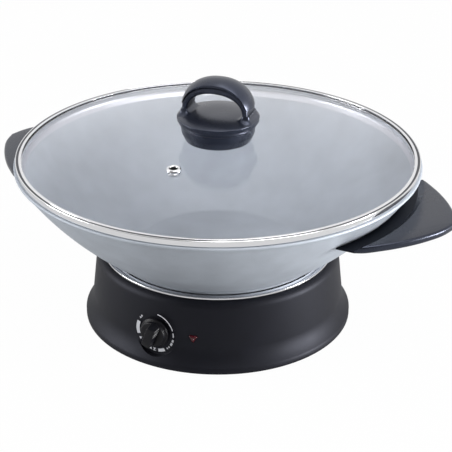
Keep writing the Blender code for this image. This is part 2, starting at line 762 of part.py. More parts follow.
def make_wok(parts, cutters, parent):
    make_wok_bowl(parts, parent)
    clearance = make_wok_clearance(cutters)
    valley = make_valley(cutters)
    for side, degrees in HANDLE_ANGLES.items():
        make_handle(side, degrees, parts, cutters, parent, clearance, valley)
        make_bracket(side, degrees, parts, cutters, parent, clearance)
        make_handle_screws(side, degrees, parts, parent)


# The lid

FACING_FRONT = (math.radians(90), 0, 0)
ARCH_FACING = (math.radians(90), 0, math.radians(KNOB_TURN))
ARCH_AXIS_ALONG = (0, math.radians(90), math.radians(KNOB_TURN))


def ring_bottom():
    return RIM_HEIGHT + FIT_GAP


def glass_edge_bottom():
    return ring_bottom() + LID_RING_SHEET + FIT_GAP


def glass_edge_top():
    return glass_edge_bottom() + GLASS_THICKNESS


def ring_top():
    return glass_edge_top() + FIT_GAP + LID_RING_SHEET


def glass_top(radius):
    """Height of the dome's upper face at this radius."""
    share = min(radius / GLASS_DOME_RADIUS, 1)
    return glass_edge_top() + GLASS_RISE * (1 - share ** 2)


def make_lid_ring(parts, parent):
    sheet = LID_RING_SHEET
    bottom, top = ring_bottom(), ring_top()
    spigot_top = bottom + sheet
    profile = [
        (LID_RING_RADIUS - LID_RING_TOP_LIP, top),
        (LID_RING_RADIUS - sheet, top),
        (LID_RING_RADIUS, top - sheet),
        (LID_RING_RADIUS, bottom),
        (LID_SPIGOT_RADIUS, bottom),
        (LID_SPIGOT_RADIUS, bottom - LID_SPIGOT_DEPTH),
        (LID_SPIGOT_RADIUS - sheet, bottom - LID_SPIGOT_DEPTH),
        (LID_SPIGOT_RADIUS - sheet, spigot_top),
        (LID_RING_RADIUS - sheet, spigot_top),
        (LID_RING_RADIUS - sheet, top - sheet),
        (LID_RING_RADIUS - LID_RING_TOP_LIP, top - sheet),
    ]
    return adopt(turned("lid_ring", profile, WOK_STEPS, parts), "bright_steel", parent)


def make_lid_glass(parts, cutters, parent):
    edge = LID_RING_RADIUS - LID_RING_SHEET - 2 * FIT_GAP
    rounds = [GLASS_HOLE_RADIUS] + [
        GLASS_DOME_RADIUS * step / GLASS_DOME_POINTS for step in range(1, GLASS_DOME_POINTS + 1)
    ]
    upper = [(radius, glass_top(radius)) for radius in rounds]
    lower = [(radius, height - GLASS_THICKNESS) for radius, height in reversed(upper)]
    profile = upper + [(edge, glass_edge_top()), (edge, glass_edge_bottom())] + lower
    glass = turned("lid_glass", profile, WOK_STEPS, parts)
    boolean(glass, make_vent_cutter(cutters))
    return adopt(glass, "glass", parent)


def vent_tilt():
    """The glass leans this much at the vent."""
    return math.atan(2 * GLASS_RISE * VENT_REACH / GLASS_DOME_RADIUS ** 2)


def vent_place():
    return polar(VENT_REACH, VENT_ANGLE, glass_top(VENT_REACH))


def vent_rotation():
    return (vent_tilt(), 0, math.radians(VENT_ANGLE + 90))


def make_vent_cutter(cutters):
    depth = GLASS_THICKNESS + 2 * CUT_OVERRUN
    profile = [(0, CUT_OVERRUN), (VENT_TUBE_RADIUS + FIT_GAP, CUT_OVERRUN)]
    profile += [(radius, height - depth) for radius, height in reversed(profile)]
    cutter = turned("vent_bore", profile, SMALL_STEPS, cutters, closed=False)
    return as_cutter(at(cutter, vent_place(), vent_rotation()))


def make_vent(parts, parent):
    top = FIT_GAP
    bottom = -GLASS_THICKNESS - FIT_GAP
    profile = [
        (VENT_BORE_RADIUS, top + VENT_FLANGE),
        (VENT_FLANGE_RADIUS - EDGE_BREAK, top + VENT_FLANGE),
        (VENT_FLANGE_RADIUS, top),
        (VENT_TUBE_RADIUS, top),
        (VENT_TUBE_RADIUS, bottom),
        (VENT_FLANGE_RADIUS, bottom),
        (VENT_FLANGE_RADIUS - EDGE_BREAK, bottom - VENT_FLANGE),
        (VENT_BORE_RADIUS, bottom - VENT_FLANGE),
    ]
    vent = turned("vent_eyelet", profile, SMALL_STEPS, parts)
    at(vent, vent_place(), vent_rotation())
    return adopt(vent, "bright_steel", parent)


def disc_underside():
    return glass_top(0) + DISC_STANDOFF


def arch_spring():
    return disc_underside() + ARCH_SPRING_RISE


def make_knob_skirt(parts, parent):
    foot = glass_top(SKIRT_FOOT_RADIUS) + 2 * FIT_GAP
    top = disc_underside() - FIT_GAP
    step = top - SKIRT_STEP_HEIGHT
    waist = (foot + step) / 2
    roof = top - SKIRT_WALL
    profile = [
        (KNOB_BORE_RADIUS, top),
        (SKIRT_TOP_RADIUS, top),
        (SKIRT_TOP_RADIUS, step),
        (SKIRT_TOP_RADIUS - EDGE_BREAK, step - EDGE_BREAK),
        (SKIRT_WAIST_RADIUS, waist),
        (SKIRT_FOOT_RADIUS, foot),
        (SKIRT_FOOT_RADIUS - SKIRT_WALL, foot),
        (SKIRT_WAIST_RADIUS - SKIRT_WALL, waist),
        (SKIRT_TOP_RADIUS - SKIRT_WALL - EDGE_BREAK, roof),
        (SKIRT_BOSS_RADIUS, roof),
        (SKIRT_BOSS_RADIUS, glass_top(0) + FIT_GAP),
        (KNOB_BORE_RADIUS, glass_top(0) + FIT_GAP),
    ]
    return adopt(turned("knob_skirt", profile, KNOB_STEPS, parts), "phenolic", parent)


def arch_point(degrees, half_span, rise):
    """A point of the squared-off arch, above its spring line."""
    turn = math.radians(degrees)
    across = half_span * math.copysign(abs(math.cos(turn)) ** ARCH_ROUNDING_SHARE, math.cos(turn))
    return across, rise * math.sin(turn) ** ARCH_ROUNDING_SHARE


def arch_line(start, half_span, rise):
    """The arch from its right end to its left end, in (across, above the spring line)."""
    end = 180 - start
    turns = [start + (end - start) * step / (ARCH_POINTS - 1) for step in range(ARCH_POINTS)]
    return [arch_point(turn, half_span, rise) for turn in turns]


def strap_rise():
    return ARCH_RISE - CAP_THICKNESS - FIT_GAP


def make_knob_body(parts, cutters, parent):
    underside = disc_underside()
    edge_top = underside + DISC_EDGE
    dome = []
    for step in range(DISC_DOME_POINTS):
        radius = DISC_RADIUS * step / DISC_DOME_POINTS
        dome.append((radius, edge_top + DISC_DOME * (1 - (radius / DISC_RADIUS) ** 2)))
    profile = dome + [
        (DISC_RADIUS - EDGE_BREAK, edge_top + EDGE_BREAK / 2),
        (DISC_RADIUS, edge_top - EDGE_BREAK / 2),
        (DISC_RADIUS, underside + EDGE_BREAK),
        (DISC_RADIUS - EDGE_BREAK, underside),
        (0, underside),
    ]
    body = turned("knob_body", profile, KNOB_STEPS, parts, closed=False)
    legs = DISC_EDGE / 2 - ARCH_SPRING_RISE
    leg = [(STRAP_OUTER_HALF_SPAN + STRAP_FLARE * out, legs * down) for out, down in STRAP_FLARE_SHARES]
    outer = leg + arch_line(0, STRAP_OUTER_HALF_SPAN, strap_rise())[1:-1]
    outer += [(-across, up) for across, up in reversed(leg)]
    inner_rise = strap_rise() - STRAP_TOP_WALL
    inner = [(STRAP_INNER_HALF_SPAN, legs)] + arch_line(0, STRAP_INNER_HALF_SPAN, inner_rise)
    inner.append((-STRAP_INNER_HALF_SPAN, legs))
    strap = flat_piece("knob_strap", outer + inner[::-1], 2 * ARCH_HALF_WIDTH, cutters, STRAP_EDGE)
    as_cutter(at(strap, (0, 0, arch_spring()), ARCH_FACING))
    bore_length = CUT_OVERRUN + insert_top() + FIT_GAP - underside
    bore = rod("insert_bore", INSERT_RADIUS + FIT_GAP, bore_length, cutters)
    as_cutter(at(bore, (0, 0, underside - CUT_OVERRUN)))
    boolean(boolean(body, strap, "UNION"), bore)
    return adopt(body, "phenolic", parent)


def insert_top():
    return disc_underside() + FIT_GAP + INSERT_HEIGHT


def make_cap_crown(cutters):
    """The cap's crowned outside: its arch, turned about a level axis just above the spring line."""
    arch = arch_line(CAP_START_ANGLE, CAP_HALF_SPAN, ARCH_RISE)
    line = [(up - CAP_CROWN_RISE, across) for across, up in arch]
    profile = [(0, line[0][1])] + line + [(0, line[-1][1])]
    crown = turned("cap_crown", profile, KNOB_STEPS, cutters, closed=False)
    return as_cutter(at(crown, (0, 0, arch_spring() + CAP_CROWN_RISE), ARCH_AXIS_ALONG))


def make_knob_cap(parts, cutters, parent):
    outer = arch_line(CAP_START_ANGLE, CAP_HALF_SPAN + CUT_OVERRUN, ARCH_RISE + CUT_OVERRUN)
    inner = arch_line(CAP_START_ANGLE, CAP_INNER_HALF_SPAN, strap_rise() + FIT_GAP)
    cap = flat_piece("knob_cap", outer + inner[::-1], 2 * CAP_HALF_WIDTH, parts)
    at(cap, (0, 0, arch_spring()), ARCH_FACING)
    boolean(cap, make_cap_crown(cutters), "INTERSECT")
    return adopt(cap, "phenolic", parent)


def make_knob_insert(parts, parent):
    bottom = disc_underside() + FIT_GAP
    top = insert_top()
    profile = [
        (KNOB_SCREW_RADIUS + FIT_GAP, top),
        (INSERT_RADIUS, top),
        (INSERT_RADIUS, bottom),
        (KNOB_SCREW_RADIUS + FIT_GAP, bottom),
    ]
    return adopt(turned("knob_insert", profile, SMALL_STEPS, parts), "brass", parent)


def seal_bottom():
    return glass_top(0) - GLASS_THICKNESS - FIT_GAP - KNOB_SEAL


def make_knob_fixings(parts, parent):
    bore = KNOB_SCREW_RADIUS + FIT_GAP
    collar = glass_top(0) - GLASS_THICKNESS / 2
    seal = [
        (bore, collar),
        (KNOB_SEAL_COLLAR_RADIUS, collar),
        (KNOB_SEAL_COLLAR_RADIUS, seal_bottom() + KNOB_SEAL),
        (KNOB_SEAL_RADIUS, seal_bottom() + KNOB_SEAL),
        (KNOB_SEAL_RADIUS, seal_bottom()),
        (bore, seal_bottom()),
    ]
    adopt(turned("knob_seal", seal, SMALL_STEPS, parts), "silicone", parent)
    washer_top = seal_bottom() - FIT_GAP
    washer = [
        (bore, washer_top),
        (KNOB_WASHER_RADIUS, washer_top),
        (KNOB_WASHER_RADIUS, washer_top - KNOB_WASHER),
        (bore, washer_top - KNOB_WASHER),
    ]
    adopt(turned("knob_washer", washer, SMALL_STEPS, parts), "steel", parent)
    head_top = washer_top - KNOB_WASHER - FIT_GAP
    length = disc_underside() + FIT_GAP + KNOB_SCREW_GRIP - head_top
    screw = make_screw(
        "knob_screw", KNOB_SCREW_RADIUS, length, KNOB_SCREW_HEAD_RADIUS, KNOB_SCREW_HEAD, parts
    )
    at(screw, (0, 0, head_top - KNOB_SCREW_HEAD))
    adopt(screw, "steel", parent)


def make_lid(parts, cutters, parent):
    make_lid_ring(parts, parent)
    make_lid_glass(parts, cutters, parent)
    make_vent(parts, parent)
    make_knob_skirt(parts, parent)
    make_knob_body(parts, cutters, parent)
    make_knob_cap(parts, cutters, parent)
    make_knob_insert(parts, parent)
    make_knob_fixings(parts, parent)


# The base shell and what is fixed to it

# The base's radii, worked out from the wok that stands in its well.
WELL_RADIUS = wok_radius_at(SHELL_TOP) + WELL_GAP
LAND_RADIUS = WELL_RADIUS + LAND_WIDTH
WALL_TOP_RADIUS = LAND_RADIUS + SHOULDER_WIDTH
COVE_TOP_RADIUS = WALL_TOP_RADIUS + WALL_DRAFT
FOOT_RADIUS = COVE_TOP_RADIUS + COVE_DEPTH
DISH_RIM_RADIUS = LAND_RADIUS + DISH_RIM_OVERHANG
DISH_WALL_RADIUS = WELL_RADIUS - DISH_SHEET - DISH_WELL_GAP
DISH_WALL_FOOT_RADIUS = DISH_WALL_RADIUS - DISH_WALL_DRAFT
DISH_LEDGE_INNER_RADIUS = DISH_WALL_FOOT_RADIUS - DISH_LEDGE_WIDTH
DISH_FLOOR_RADIUS = DISH_LEDGE_INNER_RADIUS - DISH_STEP_WIDTH
POST_REACH = DISH_WALL_FOOT_RADIUS - POST_INSET
DIAL_FLAT_REACH = COVE_TOP_RADIUS - DIAL_FLAT_INSET
LAMP_WALL_REACH = COVE_TOP_RADIUS - LAMP_INSET
PAD_REACH = COVE_TOP_RADIUS + PAD_STANDOUT
COVER_STEP_RADIUS = POST_REACH + COVER_STEP_MARGIN
PAD_FOOT_REACH = COVER_STEP_RADIUS + PAD_FOOT_MARGIN


def shell_outside():
    """The shell's outer line, from the well's edge over the shoulder and down to the foot."""
    line = [(WELL_RADIUS, SHELL_TOP), (LAND_RADIUS, SHELL_TOP)]
    for step in range(1, SHOULDER_POINTS + 1):
        turn = math.pi / 2 * step / SHOULDER_POINTS
        radius = LAND_RADIUS + SHOULDER_WIDTH * math.sin(turn)
        line.append((radius, SHELL_TOP - SHOULDER_HEIGHT * (1 - math.cos(turn))))
    drop = COVE_TOP_HEIGHT - LIP_HEIGHT
    for step in range(COVE_POINTS + 1):
        share = step / COVE_POINTS
        height = SHELL_BOTTOM + COVE_TOP_HEIGHT - drop * share
        line.append((COVE_TOP_RADIUS + COVE_DEPTH * share ** 2, height))
    return line + [(FOOT_RADIUS, SHELL_BOTTOM)]


def make_shell_core(cutters):
    """The space inside the middle of the shell's wall: ribs and backings are trimmed to it."""
    middle = offset_line(shell_outside(), SHELL_WALL / 2)
    profile = [(0, middle[0][1])] + middle + [(0, SHELL_BOTTOM)]
    return as_cutter(turned("shell_core", profile, BASE_STEPS, cutters, closed=False))


def post_bottom():
    return COVER_MIDDLE_HEIGHT + COVER_SHEET + FIT_GAP


def post_top():
    return DISH_LEDGE_HEIGHT - DISH_SHEET - FIT_GAP


def add_posts(shell, core, cutters):
    """Three screw posts with ribs out to the wall, bored from both ends."""
    height = post_top() - post_bottom()
    bores = []
    for number, degrees in enumerate(POST_ANGLES):
        post = rod("post_%d" % number, POST_RADIUS, height, cutters)
        as_cutter(at(post, polar(POST_REACH, degrees, post_bottom())))
        rib_length = FOOT_RADIUS - POST_REACH
        rib_middle = polar(POST_REACH + rib_length / 2, degrees, (post_bottom() + post_top()) / 2)
        rib = box("post_rib_%d" % number, (rib_length, POST_RIB, height - EDGE_BREAK), rib_middle, cutters)
        as_cutter(at(rib, rib_middle, (0, 0, math.radians(degrees))))
        boolean(rib, core, "INTERSECT")
        boolean(boolean(shell, post, "UNION"), rib, "UNION")
        for start in (post_bottom() - CUT_OVERRUN, post_top() - POST_BORE_DEPTH):
            bore = rod("bore", POST_BORE_RADIUS, POST_BORE_DEPTH + CUT_OVERRUN, cutters)
            bores.append(at(bore, polar(POST_REACH, degrees, start)))
    boolean(shell, as_cutter(joined("post_bores", bores, cutters)))


def dial_place(out=0.0):
    """A point on the dial's axis, this far out from the flat that the dial turns on."""
    return (0, -DIAL_FLAT_REACH - out, DIAL_HEIGHT)


def add_dial_flat(shell, core, cutters):
    """The round flat that the dial turns on, let into the cove, and the hole for the bush."""
    radius = DIAL_FLAT_RADIUS + SHELL_WALL
    backing = rod("dial_backing", radius, DIAL_FLAT_BACKING + SHELL_HEIGHT / 2, cutters, KNOB_STEPS)
    as_cutter(at(backing, dial_place(-DIAL_FLAT_BACKING), FACING_FRONT))
    boolean(backing, core, "INTERSECT")
    flat = rod("dial_flat", DIAL_FLAT_RADIUS, SHELL_HEIGHT / 2, cutters, KNOB_STEPS)
    as_cutter(at(flat, dial_place(), FACING_FRONT))
    hole = rod("bush_hole", BUSH_RADIUS + FIT_GAP, DIAL_FLAT_BACKING + 2 * CUT_OVERRUN, cutters)
    as_cutter(at(hole, dial_place(-DIAL_FLAT_BACKING - CUT_OVERRUN), FACING_FRONT))
    boolean(boolean(boolean(shell, backing, "UNION"), flat), hole)


def lamp_place(out=0.0):
    x, y, z = polar(LAMP_WALL_REACH + out, LAMP_ANGLE - 90, LAMP_HEIGHT)
    return (x, y, z)


def lamp_rotation():
    """Turns a piece's own Z out through the wall at the lamp, one corner of three straight down."""
    return (math.radians(90), 0, math.radians(LAMP_ANGLE))


def three_sided(name, radius, top, apex, bottom, collection):
    """A three-sided turned piece, one corner along its own -Y."""
    profile = [(0, apex), (radius, top), (radius, bottom), (0, bottom)]
    made = turned(name, profile, LENS_STEPS, collection, closed=False)
    for vertex in made.data.vertices:
        vertex.co = (0, -vertex.co.x, vertex.co.z)
    return made


def add_lamp_hole(shell, cutters):
    radius = LENS_CORNER_RADIUS + 2 * FIT_GAP
    out, back = CUT_OVERRUN, -LENS_DEPTH - CUT_OVERRUN
    cutter = three_sided("lamp_hole", radius, out, out, back, cutters)
    boolean(shell, as_cutter(at(cutter, lamp_place(), lamp_rotation())))


def add_inlet_pad(shell, cutters):
    """The flat pad at the back for the lead inlet, and the opening through it."""
    pad_centre = (0, PAD_REACH - PAD_DEPTH / 2, INLET_HEIGHT)
    pad = box("inlet_pad", (PAD_WIDTH, PAD_DEPTH, PAD_HEIGHT), pad_centre, cutters)
    opening_size = (
        SOCKET_BODY_WIDTH + 2 * FIT_GAP,
        PAD_DEPTH + 2 * CUT_OVERRUN,
        SOCKET_BODY_HEIGHT + 2 * FIT_GAP,
    )
    opening = box("inlet_opening", opening_size, pad_centre, cutters)
    boolean(boolean(shell, as_cutter(pad), "UNION"), as_cutter(opening))


def make_base_shell(parts, cutters, parent):
    outside = shell_outside()
    profile = outside + offset_line(outside, SHELL_WALL)[::-1]
    shell = turned("base_shell", profile, BASE_STEPS, parts)
    core = make_shell_core(cutters)
    add_posts(shell, core, cutters)
    add_dial_flat(shell, core, cutters)
    add_lamp_hole(shell, cutters)
    add_inlet_pad(shell, cutters)
    return adopt(shell, "black_shell", parent)


def make_dish(parts, cutters, parent):
    land = SHELL_TOP + FIT_GAP
    flange = land + DISH_SHEET
    bead = flange + DISH_BEAD_HEIGHT - DISH_SHEET
    upper = [
        (DISH_RIM_RADIUS, land),
        (DISH_RIM_RADIUS, bead - DISH_BEND),
        (DISH_RIM_RADIUS - DISH_BEND, bead),
        (DISH_RIM_RADIUS - DISH_BEAD_WIDTH, flange),
        (DISH_WALL_RADIUS, flange),
        (DISH_WALL_FOOT_RADIUS, DISH_LEDGE_HEIGHT),
        (DISH_LEDGE_INNER_RADIUS, DISH_LEDGE_HEIGHT),
        (DISH_FLOOR_RADIUS, DISH_FLOOR_HEIGHT),
        (DISH_HOLE_RADIUS, DISH_FLOOR_HEIGHT),
    ]
    under = offset_line(upper, -DISH_SHEET)
    dish = turned("reflector_dish", under + upper[::-1], BASE_STEPS, parts)
    bores = []
    for degrees in POST_ANGLES:
        bore = rod("bore", POST_SCREW_RADIUS + FIT_GAP, DISH_SHEET + 2 * CUT_OVERRUN, cutters)
        bores.append(at(bore, polar(POST_REACH, degrees, post_top() - CUT_OVERRUN)))
    for degrees in PLATE_BOLT_ANGLES:
        bore = rod("bore", PLATE_BOLT_RADIUS + FIT_GAP, DISH_SHEET + 2 * CUT_OVERRUN, cutters)
        place = polar(PLATE_BOLT_REACH, degrees, DISH_FLOOR_HEIGHT - DISH_SHEET - CUT_OVERRUN)
        bores.append(at(bore, place))
    for degrees in element_end_angles():
        bore = rod("bore", ELEMENT_HOLE_RADIUS, DISH_SHEET + 2 * CUT_OVERRUN, cutters)
        place = polar(ELEMENT_RING_RADIUS, degrees, DISH_FLOOR_HEIGHT - DISH_SHEET - CUT_OVERRUN)
        bores.append(at(bore, place))
    boolean(dish, as_cutter(joined("dish_bores", bores, cutters)))
    return adopt(dish, "bright_steel", parent)


def make_dish_screws(parts, parent):
    """Three screws from above, through the dish's ledge into the posts."""
    length = DISH_SHEET + 2 * FIT_GAP + POST_SCREW_GRIP
    top = DISH_LEDGE_HEIGHT + FIT_GAP + POST_SCREW_HEAD
    for number, degrees in enumerate(POST_ANGLES, 1):
        name = "dish_screw_%d" % number
        screw = make_screw(name, POST_SCREW_RADIUS, length, POST_SCREW_HEAD_RADIUS, POST_SCREW_HEAD, parts)
        at(screw, polar(POST_REACH, degrees, top), (math.radians(180), 0, 0))
        adopt(screw, "steel", parent)


def cover_rim_radius():
    inside = offset_line(shell_outside(), SHELL_WALL)
    return inside[-1][0] - COVER_RIM_GAP


def make_bottom_cover(parts, cutters, parent):
    rim = cover_rim_radius()
    step_out = COVER_STEP_RADIUS + COVER_STEP_WIDTH
    profile = [
        (0, COVER_MIDDLE_HEIGHT + COVER_SHEET),
        (COVER_STEP_RADIUS, COVER_MIDDLE_HEIGHT + COVER_SHEET),
        (step_out, COVER_RIM_HEIGHT + COVER_SHEET),
        (rim, COVER_RIM_HEIGHT + COVER_SHEET),
        (rim, COVER_RIM_HEIGHT),
        (step_out, COVER_RIM_HEIGHT),
        (COVER_STEP_RADIUS, COVER_MIDDLE_HEIGHT),
        (0, COVER_MIDDLE_HEIGHT),
    ]
    cover = turned("bottom_cover", profile, BASE_STEPS, parts, closed=False)
    cuts = []
    for number in range(SLOT_COUNT):
        degrees = 360 * number / SLOT_COUNT + 180 / SLOT_COUNT
        place = polar(SLOT_REACH, degrees, COVER_MIDDLE_HEIGHT)
        slot = box("slot", (SLOT_LENGTH, SLOT_WIDTH, 2 * CUT_OVERRUN + COVER_SHEET), place, cutters)
        cuts.append(at(slot, place, (0, 0, math.radians(degrees))))
    for degrees in POST_ANGLES:
        bore = rod("bore", POST_SCREW_RADIUS + FIT_GAP, COVER_SHEET + 2 * CUT_OVERRUN, cutters)
        cuts.append(at(bore, polar(POST_REACH, degrees, COVER_MIDDLE_HEIGHT - CUT_OVERRUN)))
    for degrees in PAD_FOOT_ANGLES.values():
        bore = rod("bore", PAD_FOOT_STEM_RADIUS + FIT_GAP, COVER_SHEET + 2 * CUT_OVERRUN, cutters)
        cuts.append(at(bore, polar(PAD_FOOT_REACH, degrees, COVER_RIM_HEIGHT - CUT_OVERRUN)))
    boolean(cover, as_cutter(joined("cover_cuts", cuts, cutters)))
    return adopt(cover, "black_shell", parent)


def make_cover_screws(parts, parent):
    length = COVER_SHEET + 2 * FIT_GAP + POST_SCREW_GRIP
    bottom = COVER_MIDDLE_HEIGHT - FIT_GAP - POST_SCREW_HEAD
    for number, degrees in enumerate(POST_ANGLES, 1):
        name = "cover_screw_%d" % number
        screw = make_screw(name, POST_SCREW_RADIUS, length, POST_SCREW_HEAD_RADIUS, POST_SCREW_HEAD, parts)
        adopt(at(screw, polar(POST_REACH, degrees, bottom)), "steel", parent)


def make_feet(parts, parent):
    pad_top = COVER_RIM_HEIGHT - FIT_GAP
    head_bottom = COVER_RIM_HEIGHT + COVER_SHEET + FIT_GAP
    profile = [
        (0, head_bottom + PAD_FOOT_HEAD),
        (PAD_FOOT_STEM_RADIUS, head_bottom + PAD_FOOT_HEAD),
        (PAD_FOOT_HEAD_RADIUS, head_bottom),
        (PAD_FOOT_STEM_RADIUS, head_bottom),
        (PAD_FOOT_STEM_RADIUS, pad_top),
        (PAD_FOOT_RADIUS, pad_top),
        (PAD_FOOT_RADIUS - EDGE_BREAK, 0),
        (0, 0),
    ]
    for name, degrees in PAD_FOOT_ANGLES.items():
        foot = turned("foot_" + name, profile, SMALL_STEPS, parts, closed=False)
        adopt(at(foot, polar(PAD_FOOT_REACH, degrees)), "rubber", parent)


# Heating


def plate_top():
    return WOK_FOOT_HEIGHT - FIT_GAP


def plate_underside():
    return plate_top() - PLATE_THICKNESS


def element_height():
    return plate_underside() + PLATE_GROOVE_DEPTH - ELEMENT_RADIUS - FIT_GAP


def element_end_angles():
    return (90 + ELEMENT_END_ANGLE, 90 - ELEMENT_END_ANGLE)


def make_hot_plate(parts, cutters, parent):
    groove = ELEMENT_RADIUS + 2 * FIT_GAP
    top, under = plate_top(), plate_underside()
    profile = [
        (0, top),
        (PLATE_RADIUS - EDGE_BREAK, top),
        (PLATE_RADIUS, top - EDGE_BREAK),
        (PLATE_RADIUS, under),
        (ELEMENT_RING_RADIUS + groove, under),
        (ELEMENT_RING_RADIUS + groove, under + PLATE_GROOVE_DEPTH),
        (ELEMENT_RING_RADIUS - groove, under + PLATE_GROOVE_DEPTH),
        (ELEMENT_RING_RADIUS - groove, under),
        (0, under),
    ]
    plate = turned("hot_plate", profile, BASE_STEPS, parts, closed=False)
    bores = []
    foot = DISH_FLOOR_HEIGHT + FIT_GAP
    for number, degrees in enumerate(PLATE_BOLT_ANGLES):
        leg = rod("plate_leg_%d" % number, PLATE_LEG_RADIUS, under + EDGE_BREAK - foot, cutters)
        boolean(plate, as_cutter(at(leg, polar(PLATE_BOLT_REACH, degrees, foot))), "UNION")
        length = PLATE_BOLT_GRIP + FIT_GAP + CUT_OVERRUN
        bore = rod("bore", PLATE_BOLT_RADIUS + FIT_GAP, length, cutters)
        bores.append(at(bore, polar(PLATE_BOLT_REACH, degrees, foot - CUT_OVERRUN)))
    boolean(plate, as_cutter(joined("plate_bores", bores, cutters)))
    return adopt(plate, "aluminium", parent)


def make_plate_bolts(parts, parent):
    """Three bolts from below, through the dish's floor into the plate's legs."""
    head_top = DISH_FLOOR_HEIGHT - DISH_SHEET - FIT_GAP
    length = DISH_SHEET + 2 * FIT_GAP + PLATE_BOLT_GRIP
    for number, degrees in enumerate(PLATE_BOLT_ANGLES, 1):
        name = "plate_bolt_%d" % number
        bolt = make_screw(name, PLATE_BOLT_RADIUS, length, PLATE_BOLT_HEAD_RADIUS, PLATE_BOLT_HEAD, parts)
        at(bolt, polar(PLATE_BOLT_REACH, degrees, head_top - PLATE_BOLT_HEAD))
        adopt(bolt, "steel", parent)


def element_route():
    """Down one tail, round the ring and down the other tail."""
    height = element_height()
    start, end = 90 + ELEMENT_GAP_ANGLE, 450 - ELEMENT_GAP_ANGLE
    ring = [
        polar(ELEMENT_RING_RADIUS, start + (end - start) * step / (ELEMENT_ARC_POINTS - 1), height)
        for step in range(ELEMENT_ARC_POINTS)
    ]
    first, last = element_end_angles()
    near = (height - ELEMENT_RADIUS, ELEMENT_TAIL_HEIGHT)
    tail_in = [polar(ELEMENT_RING_RADIUS, first, drop) for drop in reversed(near)]
    tail_out = [polar(ELEMENT_RING_RADIUS, last, drop) for drop in near]
    return tail_in + ring + tail_out


def make_element(parts, parent):
    element = tube("heating_element", element_route(), ELEMENT_RADIUS, parts)
    adopt(element, "steel", parent)
    bottom = ELEMENT_TAIL_HEIGHT - FIT_GAP - ELEMENT_PIN_LENGTH
    for side, degrees in zip(("left", "right"), element_end_angles()):
        pin = rod("element_pin_" + side, ELEMENT_PIN_RADIUS, ELEMENT_PIN_LENGTH, parts)
        adopt(at(pin, polar(ELEMENT_RING_RADIUS, degrees, bottom)), "steel", parent)


def sensor_height():
    return plate_underside() - FIT_GAP - SENSOR_RADIUS


def make_sensor(parts, parent):
    """The sensing bulb and the safety fuse, held up against the plate by one strap."""
    lying = (0, math.radians(90), 0)
    bulb = rod("sensor_bulb", SENSOR_RADIUS, 2 * SENSOR_HALF_LENGTH, parts)
    adopt(at(bulb, (-SENSOR_HALF_LENGTH, 0, sensor_height()), lying), "copper", parent)
    fuse_height = plate_underside() - FIT_GAP - FUSE_RADIUS
    fuse = rod("thermal_fuse", FUSE_RADIUS, 2 * FUSE_HALF_LENGTH, parts)
    adopt(at(fuse, (-FUSE_HALF_LENGTH, FUSE_OFFSET, fuse_height), lying), "aluminium", parent)
    outline = strap_outline()
    strap = flat_piece("sensor_strap", outline, STRAP_PLATE_WIDTH, parts)
    at(strap, (0, 0, plate_underside()), (math.radians(90), 0, math.radians(90)))
    adopt(strap, "steel", parent)


def strap_outline():
    """The strap's edge view: a foot on each side and a trough under the bulb and the fuse."""
    sheet = STRAP_PLATE_SHEET
    trough = 2 * SENSOR_RADIUS + 2 * FIT_GAP
    near = -SENSOR_RADIUS - 2 * FIT_GAP
    far = FUSE_OFFSET + FUSE_RADIUS + 2 * FIT_GAP
    foot = (STRAP_PLATE_LENGTH - far + near) / 2
    top = -FIT_GAP
    return [
        (near - foot, top), (near, top), (near, -trough), (far, -trough), (far, top), (far + foot, top),
        (far + foot, top - sheet), (far + sheet, top - sheet), (far + sheet, -trough - sheet),
        (near - sheet, -trough - sheet), (near - sheet, top - sheet), (near - foot, top - sheet),
    ]


# Dial and thermostat


def make_thermostat(parts, cutters, parent):
    back = -DIAL_FLAT_BACKING - FIT_GAP
    size = (THERMOSTAT_WIDTH, THERMOSTAT_DEPTH, THERMOSTAT_HEIGHT)
    centre = dial_place(back - THERMOSTAT_DEPTH / 2)
    body = box("thermostat", size, centre, parts)
    bush = rod("bush", BUSH_RADIUS, BUSH_LENGTH - back + EDGE_BREAK, cutters)
    as_cutter(at(bush, dial_place(back - EDGE_BREAK), FACING_FRONT))
    bore_length = BUSH_LENGTH + CUT_OVERRUN - back + THERMOSTAT_DEPTH / 2
    bore = rod("shaft_bore", SHAFT_RADIUS + SHAFT_RUNNING_GAP, bore_length, cutters, SHAFT_STEPS)
    as_cutter(at(bore, dial_place(back - THERMOSTAT_DEPTH / 2), FACING_FRONT))
    boolean(boolean(body, bush, "UNION"), bore)
    adopt(body, "cream_plastic", parent)
    nut_bottom, nut_top = FIT_GAP, FIT_GAP + NUT_HEIGHT
    bore_radius = BUSH_RADIUS + FIT_GAP
    profile = [
        (bore_radius, nut_top),
        (NUT_RADIUS, nut_top),
        (NUT_RADIUS, nut_bottom),
        (bore_radius, nut_bottom),
    ]
    nut = turned("thermostat_nut", profile, SMALL_STEPS, parts)
    adopt(at(nut, dial_place(), FACING_FRONT), "brass", parent)


